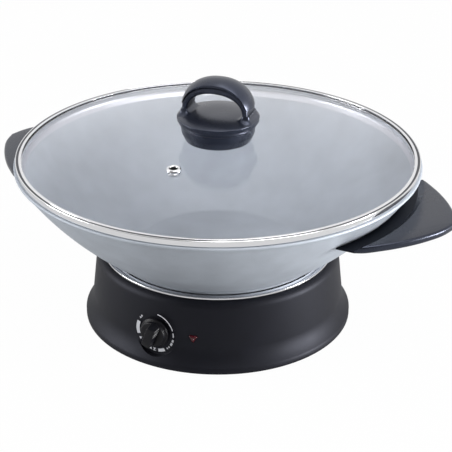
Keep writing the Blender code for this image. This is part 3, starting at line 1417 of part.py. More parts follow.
def make_dial(parts, cutters, parent):
    """The knob and its shaft. They turn together about the dial's axis, where the empty is."""
    cavity = BUSH_LENGTH + FIT_GAP
    cavity_radius = NUT_RADIUS + 2 * FIT_GAP
    profile = [
        (0, DIAL_BODY_TOP),
        (DIAL_BODY_RADIUS - 2 * EDGE_BREAK, DIAL_BODY_TOP),
        (DIAL_BODY_RADIUS, DIAL_BODY_TOP - EDGE_BREAK),
        (DIAL_BODY_RADIUS, DIAL_SKIRT_TOP + EDGE_BREAK),
        (DIAL_SKIRT_RADIUS - EDGE_BREAK, DIAL_SKIRT_TOP),
        (DIAL_SKIRT_RADIUS, DIAL_SKIRT_TOP - EDGE_BREAK),
        (DIAL_SKIRT_RADIUS, DIAL_STANDOFF),
        (cavity_radius, DIAL_STANDOFF),
        (cavity_radius, cavity),
        (0, cavity),
    ]
    knob = turned("dial_knob", profile, KNOB_STEPS, parts, closed=False)
    knob.parent = parent
    pointer = math.radians(DIAL_POINTER_ANGLE + 90)
    grip = make_grip(cutters)
    grip.parent = parent
    socket = rod("dial_socket", SHAFT_RADIUS + FIT_GAP, SHAFT_TIP + FIT_GAP, cutters)
    as_cutter(socket).parent = parent
    for item in (knob, grip, socket):
        at(item, (0, 0, 0), (0, 0, pointer))
    boolean(boolean(knob, grip, "UNION"), socket)
    adopt(knob, "phenolic", parent)
    back = -DIAL_FLAT_BACKING - THERMOSTAT_DEPTH / 2
    shaft = rod("dial_shaft", SHAFT_RADIUS, SHAFT_TIP - back, parts, SHAFT_STEPS)
    shaft.parent = parent
    adopt(at(shaft, (0, 0, back)), "aluminium", parent)


def make_grip(cutters):
    """The tapered bar across the dial, its pointer end along its own -Y."""
    bm = bmesh.new()
    bmesh.ops.create_cube(bm, size=1.0)
    height = DIAL_TOP - DIAL_BODY_TOP + DIAL_GRIP_SINK
    for vertex in bm.verts:
        taper = DIAL_GRIP_TAPER_SHARE if vertex.co.z > 0 else 1.0
        vertex.co.x *= DIAL_GRIP_WIDTH * taper
        vertex.co.y *= DIAL_GRIP_LENGTH * taper
        vertex.co.z = DIAL_TOP - height / 2 + vertex.co.z * height
    grip = mesh_object("dial_grip", bm, cutters)
    bevel = grip.modifiers.new("edges", "BEVEL")
    bevel.width = 2 * EDGE_BREAK
    bevel.segments = 2
    return as_cutter(grip)


def make_lamp(parts, cutters, parent):
    lens = three_sided("lamp_lens", LENS_CORNER_RADIUS, LENS_EDGE, LENS_RISE, -LENS_DEPTH, parts)
    adopt(at(lens, lamp_place(), lamp_rotation()), "red_lens", parent)
    front = -LENS_DEPTH - FIT_GAP
    floor = front - NEON_LENGTH - 2 * FIT_GAP
    holder = [
        (HOLDER_BORE_RADIUS, front),
        (HOLDER_RADIUS, front),
        (HOLDER_RADIUS, front - HOLDER_LENGTH),
        (0, front - HOLDER_LENGTH),
        (0, floor),
        (HOLDER_BORE_RADIUS, floor),
    ]
    made = turned("lamp_holder", holder, SMALL_STEPS, parts)
    adopt(at(made, lamp_place(), lamp_rotation()), "cream_plastic", parent)
    neon = rod("neon_lamp", NEON_RADIUS, NEON_LENGTH, parts)
    adopt(at(neon, lamp_place(floor + FIT_GAP), lamp_rotation()), "glass", parent)


# Lead inlet and the leads


def inlet_face():
    return PAD_REACH + FIT_GAP + FLANGE_THICKNESS


def socket_outline():
    """The socket's opening: a rectangle with its two upper corners cut off."""
    wide, high = SOCKET_WIDTH / 2, SOCKET_OPENING_HEIGHT / 2
    cut = SOCKET_CHAMFER
    return [
        (-wide, -high), (wide, -high), (wide, high - cut),
        (wide - cut, high), (cut - wide, high), (-wide, high - cut),
    ]


def blade_places():
    return {
        "live": (-BLADE_SPACING / 2, INLET_HEIGHT - BLADE_DROP),
        "neutral": (BLADE_SPACING / 2, INLET_HEIGHT - BLADE_DROP),
        "earth": (0, INLET_HEIGHT + BLADE_DROP),
    }


def blade_back():
    return inlet_face() - SOCKET_DEPTH - BLADE_TAIL


def make_inlet(parts, cutters, parent):
    face = inlet_face()
    flange_centre = (0, face - FLANGE_THICKNESS / 2, INLET_HEIGHT)
    flange_size = (FLANGE_WIDTH, FLANGE_THICKNESS, FLANGE_HEIGHT)
    housing = box("inlet_socket", flange_size, flange_centre, parts)
    body_size = (SOCKET_BODY_WIDTH, SOCKET_BODY_DEPTH, SOCKET_BODY_HEIGHT)
    body_centre = (0, face - EDGE_BREAK - SOCKET_BODY_DEPTH / 2, INLET_HEIGHT)
    body = as_cutter(box("socket_body", body_size, body_centre, cutters))
    opening = flat_piece("socket_opening", socket_outline(), 2 * SOCKET_DEPTH, cutters)
    as_cutter(at(opening, (0, face, INLET_HEIGHT), FACING_FRONT))
    slots = []
    length = face - BLADE_SETBACK - blade_back()
    for name, (across, height) in blade_places().items():
        place = (across, blade_back() + length / 2, height)
        slot_size = (BLADE_WIDTH + 2 * FIT_GAP, 2 * length, BLADE_HEIGHT + 2 * FIT_GAP)
        slots.append(at(box("slot", slot_size, place, cutters), place))
        blade = box("inlet_blade_" + name, (BLADE_WIDTH, length, BLADE_HEIGHT), place, parts)
        adopt(blade, "brass", parent)
    slots = as_cutter(joined("blade_slots", slots, cutters))
    boolean(boolean(boolean(housing, body, "UNION"), opening), slots)
    adopt(housing, "black_shell", parent)


def make_leads(parts, parent):
    """Insulated leads, each held at both ends by the tag or pin that it meets."""
    places = blade_places()
    back = blade_back() - LEAD_RADIUS - FIT_GAP
    under_pin = ELEMENT_TAIL_HEIGHT - 2 * FIT_GAP - ELEMENT_PIN_LENGTH
    left_end, right_end = (polar(ELEMENT_RING_RADIUS, degrees, under_pin) for degrees in element_end_angles())
    thermostat_back = dial_place(-DIAL_FLAT_BACKING - THERMOSTAT_DEPTH - 2 * FIT_GAP)
    low = post_bottom() + LEAD_LIFT
    side = THERMOSTAT_WIDTH / 4
    neutral = neutral_route(places["neutral"], back, right_end, low)
    live = live_route(places["live"], back, thermostat_back, side, low)
    switched = switched_route(left_end, thermostat_back, side, low)
    for name, material, radius, route in (
        ("lead_neutral", "lead_blue", LEAD_RADIUS, neutral),
        ("lead_live", "lead_brown", LEAD_RADIUS, live),
        ("lead_switched", "lead_brown", LEAD_RADIUS, switched),
        ("lead_earth", "lead_green", LEAD_RADIUS, earth_route(places["earth"], back)),
        ("lamp_lead_live", "lead_brown", LAMP_LEAD_RADIUS, lamp_live_route(thermostat_back, side)),
        ("lamp_lead_neutral", "lead_blue", LAMP_LEAD_RADIUS, lamp_neutral_route(right_end, low)),
        ("capillary", "copper", CAPILLARY_RADIUS, capillary_route(thermostat_back, side)),
    ):
        made = tube(name, smooth_line(route, LEAD_CURVE_STEPS), radius, parts, LEAD_TUBE_RESOLUTION)
        adopt(made, material, parent)


def lamp_lead_start(side):
    """The first two points of a lamp lead: at the back of the lamp's holder, and a little inward."""
    across = lamp_rotation()[2]
    shift = Vector((math.cos(across), math.sin(across), 0)) * side * LAMP_LEAD_SPACING / 2
    back = LENS_DEPTH + 2 * FIT_GAP + HOLDER_LENGTH
    return [tuple(Vector(lamp_place(-back - reach)) + shift) for reach in (0, BLADE_TAIL)]


def lamp_live_route(thermostat, side):
    height = thermostat[2] + BLADE_TAIL / 2
    across = side + side / 2
    return lamp_lead_start(-1) + [
        (THERMOSTAT_WIDTH / 2, thermostat[1] + 2 * BLADE_TAIL, height),
        (across, thermostat[1] + BLADE_TAIL, height),
        (across, thermostat[1] + BLADE_TAIL / 2, height),
        (across, thermostat[1], height),
    ]


def lamp_neutral_route(pin, low):
    """From the lamp round the right of the base to the side of the neutral pin."""
    height = pin[2] + ELEMENT_PIN_LENGTH / 2
    pin_side = pin[0] + ELEMENT_PIN_RADIUS + FIT_GAP
    return lamp_lead_start(1) + [
        polar(POST_REACH, -50, low + BLADE_TAIL),
        polar(ELEMENT_RING_RADIUS, -20, low),
        polar(ELEMENT_RING_RADIUS, 20, low),
        polar(ELEMENT_RING_RADIUS, 55, low),
        (pin_side + BLADE_TAIL, pin[1], height),
        (pin_side + BLADE_TAIL / 2, pin[1], height),
        (pin_side, pin[1], height),
    ]


def neutral_route(blade, back, end, low):
    return [
        (blade[0], back, blade[1]),
        (blade[0], back - BLADE_TAIL, blade[1] - BLADE_TAIL),
        (end[0], end[1] + BLADE_TAIL, low),
        (end[0], end[1], low),
        (end[0], end[1], end[2]),
    ]


def live_route(blade, back, thermostat, side, low):
    reach = ELEMENT_RING_RADIUS
    return [
        (blade[0], back, blade[1]),
        (blade[0] - BLADE_TAIL, back - BLADE_TAIL, low + BLADE_TAIL),
        polar(reach, 130, low),
        polar(reach, 180, low),
        polar(reach, 230, low),
        (-side, thermostat[1] + 2 * BLADE_TAIL, low),
        (-side, thermostat[1] + BLADE_TAIL, thermostat[2] - BLADE_TAIL / 2),
        (-side, thermostat[1] + BLADE_TAIL / 2, thermostat[2] - BLADE_TAIL / 2),
        (-side, thermostat[1], thermostat[2] - BLADE_TAIL / 2),
    ]


def switched_route(end, thermostat, side, low):
    return [
        (end[0], end[1], end[2]),
        (end[0], end[1], low),
        (end[0] / 2, end[1] / 2, low),
        (side / 2, 0, low),
        (side, -end[1], low),
        (side, thermostat[1] + BLADE_TAIL, thermostat[2] - BLADE_TAIL / 2),
        (side, thermostat[1] + BLADE_TAIL / 2, thermostat[2] - BLADE_TAIL / 2),
        (side, thermostat[1], thermostat[2] - BLADE_TAIL / 2),
    ]


def earth_route(blade, back):
    """From the earth blade up to the underside of the dish's floor."""
    dish_under = DISH_FLOOR_HEIGHT - DISH_SHEET - FIT_GAP
    return [
        (blade[0], back, blade[1]),
        (blade[0], back - BLADE_TAIL / 2, blade[1] - LEAD_RADIUS),
        (blade[0], DISH_FLOOR_RADIUS - BLADE_TAIL, dish_under - BLADE_TAIL),
        (blade[0], DISH_FLOOR_RADIUS - 2 * BLADE_TAIL, dish_under - BLADE_TAIL / 2),
        (blade[0], DISH_FLOOR_RADIUS - 2 * BLADE_TAIL, dish_under),
    ]


def capillary_route(thermostat, side):
    end = SENSOR_HALF_LENGTH + FIT_GAP
    turn = 2 * SENSOR_RADIUS
    return [
        (-side / 2, thermostat[1], thermostat[2]),
        (-side / 2, thermostat[1] + BLADE_TAIL, thermostat[2]),
        (0, -ELEMENT_RING_RADIUS, thermostat[2]),
        (end, -DISH_HOLE_RADIUS, thermostat[2]),
        (end + turn, -turn, thermostat[2] + turn),
        (end + turn, 0, sensor_height() - turn / 2),
        (end + turn / 2, 0, sensor_height()),
        (end, 0, sensor_height()),
    ]


def make_base(parts, cutters, parent):
    make_base_shell(parts, cutters, parent)
    make_bottom_cover(parts, cutters, parent)
    make_cover_screws(parts, parent)
    make_feet(parts, parent)
    make_dish(parts, cutters, parent)
    make_dish_screws(parts, parent)
    make_hot_plate(parts, cutters, parent)
    make_plate_bolts(parts, parent)
    make_element(parts, parent)
    make_sensor(parts, parent)
    make_thermostat(parts, cutters, parent)
    make_lamp(parts, cutters, parent)
    make_inlet(parts, cutters, parent)
    make_leads(parts, parent)


def group_empty(name, collection, place=(0, 0, 0), rotation=(0, 0, 0)):
    empty = bpy.data.objects.new(name, None)
    collection.objects.link(empty)
    return at(empty, place, rotation)


def main():
    clear_scene()
    parts = new_collection(OBJECT_NAME)
    cutters = new_collection("cutters")
    make_base(parts, cutters, group_empty("base_group", parts))
    make_dial(parts, cutters, group_empty("dial_group", parts, dial_place(), FACING_FRONT))
    make_wok(parts, cutters, group_empty("wok_group", parts))
    make_lid(parts, cutters, group_empty("lid_group", parts))


main()
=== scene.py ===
# Electric wok: the looks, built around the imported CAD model.
#
# Metres, +Z up, in the frame of the model: the dial faces -Y and the wok's handles point along X.
# Finer pieces stand for the turned, moulded and cast nodes. The rest keep their shape and get a
# material. Then come the dial's print, the floor, the lamps and the camera.

import math

import bmesh
import bpy
from mathutils import Matrix, Vector


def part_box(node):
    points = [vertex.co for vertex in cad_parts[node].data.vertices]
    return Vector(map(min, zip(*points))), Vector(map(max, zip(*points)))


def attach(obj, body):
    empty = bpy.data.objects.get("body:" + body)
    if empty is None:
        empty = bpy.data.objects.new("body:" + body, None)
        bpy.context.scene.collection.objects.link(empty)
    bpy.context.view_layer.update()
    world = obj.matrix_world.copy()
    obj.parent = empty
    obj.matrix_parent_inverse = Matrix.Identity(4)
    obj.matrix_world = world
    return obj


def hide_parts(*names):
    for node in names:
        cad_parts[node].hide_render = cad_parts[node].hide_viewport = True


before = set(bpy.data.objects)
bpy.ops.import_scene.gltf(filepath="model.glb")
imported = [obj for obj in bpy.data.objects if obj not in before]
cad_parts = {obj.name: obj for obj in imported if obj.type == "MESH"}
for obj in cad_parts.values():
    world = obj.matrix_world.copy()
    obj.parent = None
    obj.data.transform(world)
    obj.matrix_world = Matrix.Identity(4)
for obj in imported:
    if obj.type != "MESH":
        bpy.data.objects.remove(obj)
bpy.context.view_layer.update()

MM = 0.001
# Gap between pieces that fit into or over each other.
FIT = 0.3 * MM

# Facets round a full turn, and in a rounded corner.
RING_STEPS = 448
LARGE_STEPS = 224
KNOB_STEPS = 112
SMALL_STEPS = 48
CORNER_PARTS = 4

# Wok
RIM_RADIUS = 179.0 * MM
RIM_HEIGHT = 151.0 * MM
MOUTH_RADIUS = RIM_RADIUS - 6.0 * MM
MOUTH_ROUND = 0.8 * MM
LIP_DEPTH = 2.0 * MM
LIP_OVERHANG = 1.6 * MM
NECK_DROP = 3.0 * MM
WOK_WALL = 3.2 * MM
WOK_WALL_ARC = 300.0 * MM
WOK_FOOT_RADIUS = 76.5 * MM
WOK_FOOT_HEIGHT = 55.0 * MM
WOK_FLOOR_HEIGHT = 60.0 * MM
WOK_FLOOR_FILLET = 14.0
WOK_FLOOR_EDGE = 3.0 * MM
WOK_FOOT_RING = 9.0 * MM
WOK_FOOT_RECESS = 0.4 * MM
WOK_ARC_PARTS = 36
BAND_HEIGHT = 142.6 * MM
BAND_STEP = 0.25 * MM
SEAT_BEAD_HEIGHT = 66.9 * MM
SEAT_BEAD_REACH = 1.5 * MM
SEAT_BEAD = 1.2 * MM

# Handles
HANDLE_REACH = RIM_RADIUS + 39.0 * MM
HANDLE_ROOT = RIM_RADIUS - 21.0 * MM
HANDLE_INNER = RIM_RADIUS - 39.0 * MM
HANDLE_HALF_SPAN = 77.0 * MM
HANDLE_TOP = 133.0 * MM
HANDLE_THICKNESS = 6.8 * MM
HANDLE_EDGE = 2.4 * MM
HANDLE_SHELF = 2.6 * MM
HANDLE_RIDGE_RADIUS = 180.6 * MM
VALLEY_FLOOR_RADIUS = HANDLE_RIDGE_RADIUS - 4.2 * MM
HANDLE_RIDGE_ROUND = 1.1 * MM
# Half of the outline, from the tip inwards, in shares of the length and of the half span.
HANDLE_OUTLINE_SHARES = (
    (1.0, 0.0), (0.945, 0.165), (0.87, 0.295), (0.70, 0.505),
    (0.50, 0.695), (0.30, 0.85), (0.15, 0.95), (0.02, 1.0),
)
# The loose wok stands a little turned in the base.
HANDLE_ANGLES = (("right", 2), ("left", 182))

# Lid ring and glass
RING_RADIUS = 177.3 * MM
RING_BOTTOM = 151.3 * MM
RING_TOP = 156.7 * MM
RING_SHEET = 0.8 * MM
RING_LIP = 5.2 * MM
GROOVE_DEPTH = 0.5 * MM
GROOVE_INNER = RING_RADIUS - RING_LIP + 2.5 * MM
GROOVE_OUTER = RING_RADIUS - 0.9 * MM
SPIGOT_RADIUS = 172.3 * MM
SPIGOT_BOTTOM = 147.9 * MM
GLASS_EDGE_RADIUS = 175.9 * MM
GLASS_DOME_RADIUS = 171.4 * MM
GLASS_EDGE_TOP = 155.6 * MM
GLASS_THICKNESS = 3.2 * MM
GLASS_RISE = 13.2 * MM
GLASS_HOLE_RADIUS = 3.9 * MM
GLASS_PARTS = 48

# Steam vent
VENT_REACH = 74.0 * MM
VENT_ANGLE = -92
VENT_BORE_RADIUS = 3.4 * MM
VENT_TUBE_RADIUS = 4.8 * MM
VENT_FLANGE_RADIUS = 6.6 * MM
VENT_FLANGE = 1.8 * MM

# Lid knob
DISC_RADIUS = 36.3 * MM
DISC_UNDERSIDE = 185.4 * MM
DISC_EDGE = 4.4 * MM
DISC_UNDERCUT = 1.2 * MM
DISC_DOME = 4.2 * MM
SKIRT_TOP_RADIUS = 33.6 * MM
SKIRT_WAIST_RADIUS = 32.2 * MM
SKIRT_FOOT_RADIUS = 28.9 * MM
SKIRT_WALL = 2.6 * MM
SKIRT_STEP_HEIGHT = 2.2 * MM
SKIRT_BORE_RADIUS = 2.4 * MM
SKIRT_BOSS_RADIUS = 7.2 * MM
ARCH_SPRING = 195.5 * MM
ARCH_RISE = 29.3 * MM
ARCH_HALF_WIDTH = 11.3 * MM
STRAP_RISE = ARCH_RISE - 5.2 * MM - FIT
STRAP_OUTER_HALF_SPAN = 30.0 * MM
STRAP_INNER_HALF_SPAN = 25.2 * MM
STRAP_TOP_WALL = 6.2 * MM
STRAP_FLARE = 1.2 * MM
STRAP_COVE = 5.6 * MM
STRAP_EDGE = 1.6 * MM
CAP_HALF_SPAN = 32.7 * MM
CAP_HALF_WIDTH = 12.6 * MM
CAP_CROWN_RISE = 2.0 * MM
CAP_EDGE = 0.9 * MM
CAP_START_ANGLE = 12
ARCH_ROUNDING_SHARE = 0.909
ARCH_PARTS = 40
DOME_PARTS = 16

# Base shell
SHELL_BOTTOM = 1.0 * MM
SHELL_TOP = 64.5 * MM
SHELL_WALL = 2.5 * MM
SHELL_LIP = 4.8 * MM
COVE_TOP_HEIGHT = 24.0 * MM
COVE_DEPTH = 7.4 * MM
SHOULDER_WIDTH = 6.6 * MM
SHOULDER_HEIGHT = 7.5 * MM
WALL_DRAFT = 3.6 * MM
LAND_WIDTH = 4.6 * MM
WELL_RADIUS = 98.788 * MM
LAND_RADIUS = WELL_RADIUS + LAND_WIDTH
WALL_TOP_RADIUS = LAND_RADIUS + SHOULDER_WIDTH
COVE_TOP_RADIUS = WALL_TOP_RADIUS + WALL_DRAFT
FOOT_RADIUS = COVE_TOP_RADIUS + COVE_DEPTH
SHOULDER_PARTS = 12
COVE_PARTS = 16

# Dish and hot plate
DISH_SHEET = 0.8 * MM
DISH_RIM_RADIUS = LAND_RADIUS + 1.0 * MM
DISH_LAND = SHELL_TOP + 0.3 * MM
DISH_BEAD_HEIGHT = 2.0 * MM
DISH_BEAD_WIDTH = 3.0 * MM
DISH_WALL_RADIUS = WELL_RADIUS - 1.6 * MM
DISH_WALL_FOOT_RADIUS = DISH_WALL_RADIUS - 0.6 * MM
DISH_LEDGE_HEIGHT = 44.4 * MM
DISH_LEDGE_INNER_RADIUS = DISH_WALL_FOOT_RADIUS - 10.8 * MM
DISH_FLOOR_HEIGHT = 38.8 * MM
DISH_FLOOR_RADIUS = DISH_LEDGE_INNER_RADIUS - 2.6 * MM
DISH_HOLE_RADIUS = 24.0 * MM
PLATE_RADIUS = 84.1 * MM
PLATE_TOP = 54.7 * MM
PLATE_UNDERSIDE = 46.7 * MM

# Dial, its flat and its print
DIAL_REACH = COVE_TOP_RADIUS - 0.4 * MM
DIAL_HEIGHT = 31.1 * MM
DIAL_FLAT_RADIUS = 21.5 * MM
DIAL_FLAT_BACKING = 6.2 * MM
DIAL_SKIRT_RADIUS = 13.4 * MM
DIAL_BODY_RADIUS = 11.4 * MM
DIAL_POINTER_ANGLE = -110
DIAL_FACE = 6.2 * MM
DIAL_GAP = 0.6 * MM
# The dial's grip: its height and taper in rows from its foot up, and the ribs along its sides.
GRIP_ROWS = ((5.0 * MM, 1.0), (12.5 * MM, 0.86), (13.15 * MM, 0.82), (13.4 * MM, 0.76))
GRIP_HALF_LENGTH = 11.1 * MM
GRIP_HALF_WIDTH = 5.2 * MM
GRIP_SQUARENESS = 0.35
GRIP_STEPS = 144
RIB_PITCH = 2.3 * MM
RIB_DEPTH = 0.9 * MM
RIBBED_SHARE = 0.8
BUSH_HOLE_RADIUS = 5.1 * MM
PRINT_RADIUS = 17.6 * MM
PRINT_THICKNESS = 0.06 * MM
# Printed arcs in degrees and millimetres: start, end, distance out from the print's circle, width.
PRINT_ARCS = (
    (-96, -92, 0, 2.4), (-98.5, -89.5, -1.1, 0.7), (-98.5, -89.5, 1.1, 0.7), (-82, -60, 0, 3.0),
    (-51.2, -46.8, 0, 1.4), (-43.2, -38.8, 0, 1.4), (-33, -23, 0, 1.9), (-20, -11, 0, 1.7),
    (-4, 10, 0, 1.2), (17, 82, 0, 0.9), (158, 199, -0.3, 3.2),
)
# Printed pointers: angle, distance out, size, and the tip's turn from pointing out to the rim.
PRINT_POINTERS = ((-107, 0, 2.1, 180), (144, 0.3, 1.3, 0), (137, 0.3, 1.3, 0), (213, 0, 1.7, 180))

# Pilot lamp
LAMP_ANGLE = 17.35
LAMP_REACH = COVE_TOP_RADIUS - 1.0 * MM
LAMP_HEIGHT = 31.2 * MM
LENS_CORNER_RADIUS = 4.7 * MM
# Height in millimetres and share of the outline, from the lens's back to its crown.
LENS_ROWS = ((-3.0, 1.0), (0.3, 1.0), (0.9, 0.93), (1.4, 0.78), (1.7, 0.5), (1.8, 0.2))

# Lead inlet
INLET_HEIGHT = 32.5 * MM
PAD_REACH = COVE_TOP_RADIUS + 0.8 * MM
PAD_SIZE = (38.0 * MM, 7.0 * MM, 29.2 * MM)
SOCKET_BODY_SIZE = (28.2 * MM, 15.0 * MM, 20.6 * MM)

# Camera: focal length for a 36 mm sensor, place, and its turns about Z, X and Z in degrees
CAMERA_LENS = 113.97
CAMERA_PLACE = (0.54583, -1.02223, 0.6528)
CAMERA_TURNS = (27.7432, 63.8144, 0.28959)

# Lamps: place, aim, size and watts
LAMPS = (
    ("overhead_softbox", (0.85, -0.5, 1.9), (0, 0, 0.1), (1.8, 1.2), 23),
    ("back_softbox", (0.1, 0.3, 2.0), (0, 0, 0.12), (1.3, 0.5), 5),
    ("right_softbox", (1.65, 0.42, 0.2), (0, 0, 0.06), (0.5, 0.36), 42),
    ("left_softbox", (-1.6, -1.0, 0.6), (0, 0, 0.1), (0.9, 0.7), 22),
)
# Share of plain white on the floor, as the camera and as gloss sees it.
FLOOR_WHITE = 0.985
FLOOR_WHITE_IN_GLOSS = 0.4
# Strength of the white room as a lamp, and of the dark studio that gloss mirrors in front.
ROOM_STRENGTH = 0.42
DARK_ROOM_STRENGTH = 0.05
DARK_SIDE = (0.40, -0.88, 0.26)


# Shapes


def about(axis, degrees):
    """A turn about one axis."""
    return Matrix.Rotation(math.radians(degrees), 4, axis)


FACING_FRONT = about("X", 90)
# The knob is screwed on a little turned.
KNOB_TURN = about("Z", 9)
ARCH_PLACE = Matrix.Translation((0, 0, ARCH_SPRING)) @ KNOB_TURN @ FACING_FRONT


def box_profile(near, far, start, end):
    """The plain profile between two radii and two heights."""
    return [(near, start), (far, start), (far, end), (near, end)]


def rounded(corners, closed=False, parts=CORNER_PARTS):
    """A profile through (radius, height, fillet in mm) corners, each rounded by its own arc."""
    line = []
    count = len(corners)
    for index, (across, up, fillet) in enumerate(corners):
        here = Vector((across, up))
        is_end = not closed and index in (0, count - 1)
        if is_end or not fillet:
            line.append((across, up))
            continue
        before = Vector(corners[index - 1][:2]) - here
        after = Vector(corners[(index + 1) % count][:2]) - here
        half = before.angle(after) / 2
        reach = min(fillet * MM / math.tan(half), 0.49 * before.length, 0.49 * after.length)
        radius = reach * math.tan(half)
        middle = here + (before.normalized() + after.normalized()).normalized() * radius / math.sin(half)
        start = here + before.normalized() * reach - middle
        turn = start.angle_signed(here + after.normalized() * reach - middle)
        for step in range(parts + 1):
            arm = start.copy()
            arm.rotate(Matrix.Rotation(-turn * step / parts, 2))
            line.append(tuple(middle + arm))
    return line


def offset_line(points, distance):
    """The same open line moved sideways, to its right when the distance is above zero."""
    moved = []
    for index, point in enumerate(points):
        normals = []
        for other in (index - 1, index):
            if 0 <= other < len(points) - 1:
                run = Vector(points[other + 1]) - Vector(points[other])
                normals.append(Vector((run.y, -run.x)).normalized())
        mean = sum(normals, Vector((0, 0))).normalized()
        reach = distance / mean.dot(normals[0])
        moved.append((point[0] + mean.x * reach, point[1] + mean.y * reach))
    return moved


def piece_from(name, bm, place=None, sharp_angle=38):
    """Makes an object of the mesh, smooth but for its sharp edges, in the frame's own coordinates."""
    bmesh.ops.remove_doubles(bm, verts=bm.verts, dist=0.001 * MM)
    bmesh.ops.recalc_face_normals(bm, faces=bm.faces)
    mesh = bpy.data.meshes.new(name)
    bm.to_mesh(mesh)
    bm.free()
    if place is not None:
        mesh.transform(place)
    mesh.shade_smooth()
    mesh.set_sharp_from_angle(angle=math.radians(sharp_angle))
    made = bpy.data.objects.new(name, mesh)
    bpy.context.scene.collection.objects.link(made)
    return made


def turned(name, profile, steps=LARGE_STEPS, place=None):
    """A piece turned about Z from a (radius, height) profile, closed unless it starts on the axis."""
    bm = bmesh.new()
    points = [bm.verts.new((radius, 0, height)) for radius, height in profile]
    pairs = list(zip(points, points[1:]))
    if profile[0][0] > 0:
        pairs.append((points[-1], points[0]))
    edges = [bm.edges.new(pair) for pair in pairs]
    bmesh.ops.spin(
        bm, geom=points + edges, cent=(0, 0, 0), axis=(0, 0, 1), angle=2 * math.pi, steps=steps,
        use_merge=True,
    )
    return piece_from(name, bm, place)


def lofted(name, rows, place, sharp_angle):
    """A piece with walls between closed rows of points, and both ends closed."""
    bm = bmesh.new()
    rows = [[bm.verts.new(point) for point in row] for row in rows]
    for lower, upper in zip(rows, rows[1:]):
        for step in range(len(lower)):
            after = (step + 1) % len(lower)
            bm.faces.new((lower[step], lower[after], upper[after], upper[step]))
    bm.faces.new(rows[0])
    bm.faces.new(rows[-1])
    return piece_from(name, bm, place, sharp_angle)


def block(name, size, centre, edge=0.0):
    """A box with rounded edges."""
    bm = bmesh.new()
    bmesh.ops.create_cube(bm, size=1.0)
    bmesh.ops.scale(bm, vec=size, verts=bm.verts)
    if edge:
        bmesh.ops.bevel(bm, geom=bm.edges, offset=edge, segments=3, profile=0.5, affect="EDGES")
    return piece_from(name, bm, Matrix.Translation(centre))


def plate(name, outline, thickness, edge=0.0, edge_parts=4, place=None):
    """A flat outline with thickness about its own plane, its edges rounded within its size."""
    data = bpy.data.curves.new(name, "CURVE")
    data.dimensions = "2D"
    data.fill_mode = "BOTH"
    data.extrude = thickness / 2 - edge
    data.bevel_depth = edge
    data.bevel_resolution = edge_parts
    data.offset = -edge
    spline = data.splines.new("POLY")
    spline.points.add(len(outline) - 1)
    for point, (across, along) in zip(spline.points, outline):
        point.co = (across, along, 0, 1)
    spline.use_cyclic_u = True
    curve = bpy.data.objects.new(name + "_curve", data)
    bpy.context.scene.collection.objects.link(curve)
    bm = bmesh.new()
    graph = bpy.context.evaluated_depsgraph_get()
    mesh = bpy.data.meshes.new_from_object(curve.evaluated_get(graph))
    bm.from_mesh(mesh)
    bpy.data.meshes.remove(mesh)
    bpy.data.objects.remove(curve, do_unlink=True)
    return piece_from(name, bm, place)


def carve(target, cutters, operation="DIFFERENCE", sharp_angle=38):
    """Cuts or joins the cutters into the piece and removes them."""
    for cutter in cutters:
        step = target.modifiers.new(cutter.name, "BOOLEAN")
        step.operation = operation
        step.object = cutter
        step.solver = "EXACT"
    graph = bpy.context.evaluated_depsgraph_get()
    mesh = bpy.data.meshes.new_from_object(target.evaluated_get(graph))
    target.modifiers.clear()
    target.data = mesh
    for cutter in cutters:
        bpy.data.objects.remove(cutter, do_unlink=True)
    mesh.shade_smooth()
    mesh.set_sharp_from_angle(angle=math.radians(sharp_angle))
    return target


def bevelled(target, width, parts):
    """Rounds the piece's sharp edges."""
    step = target.modifiers.new("edges", "BEVEL")
    step.width = width
    step.segments = parts
    step.limit_method = "ANGLE"
    step.angle_limit = math.radians(38)
    carve(target, [])


def placed(item, body, material, *nodes):
    """Gives a piece its body, its material and the nodes that it stands for."""
    item.data.materials.clear()
    item.data.materials.append(material)
    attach(item, body)
    if nodes:
        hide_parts(*nodes)


def polar(radius, degrees, height=0.0):
    """A point at this angle from +X about Z."""
    turn = math.radians(degrees)
    return Vector((radius * math.cos(turn), radius * math.sin(turn), height))


def smooth_line(points, parts):
    """A smooth curve through the points, with this many parts in each span."""
    places = [Vector(point) for point in points]
    around = zip(places[:1] + places, places[1:] + places[-1:])
    headings = [(after - before).normalized() for before, after in around]
    curve = []
    for start, end, leave, arrive in zip(places, places[1:], headings, headings[1:]):
        reach = (end - start).length
        for step in range(parts):
            share = step / parts
            square, cube = share ** 2, share ** 3
            curve.append(tuple(
                start * (2 * cube - 3 * square + 1) + leave * reach * (cube - 2 * square + share)
                + end * (3 * square - 2 * cube) + arrive * reach * (cube - square)
            ))
    return curve + [tuple(places[-1])]


# Materials


def linear(code):
    """An sRGB hex colour as linear values."""
    shares = [int(code[place:place + 2], 16) / 255 for place in (1, 3, 5)]
    return [
        share / 12.92 if share <= 0.04045 else ((share + 0.055) / 1.055) ** 2.4 for share in shares
    ] + [1.0]


def connect(tree, node, inputs):
    """Sets a node's inputs to values, or links them to other nodes or to an output of theirs."""
    for name, value in inputs.items():
        if isinstance(value, bpy.types.Node):
            value = value.outputs[0]
        if isinstance(value, bpy.types.NodeSocket):
            tree.links.new(value, node.inputs[name])
        else:
            node.inputs[name].default_value = value


def add_node(tree, kind, inputs=None, **settings):
    """Adds a shader node, with its settings, and sets or links its inputs."""
    node = tree.nodes.new("ShaderNode" + kind)
    for name, value in settings.items():
        setattr(node, name, value)
    connect(tree, node, inputs or {})
    return node


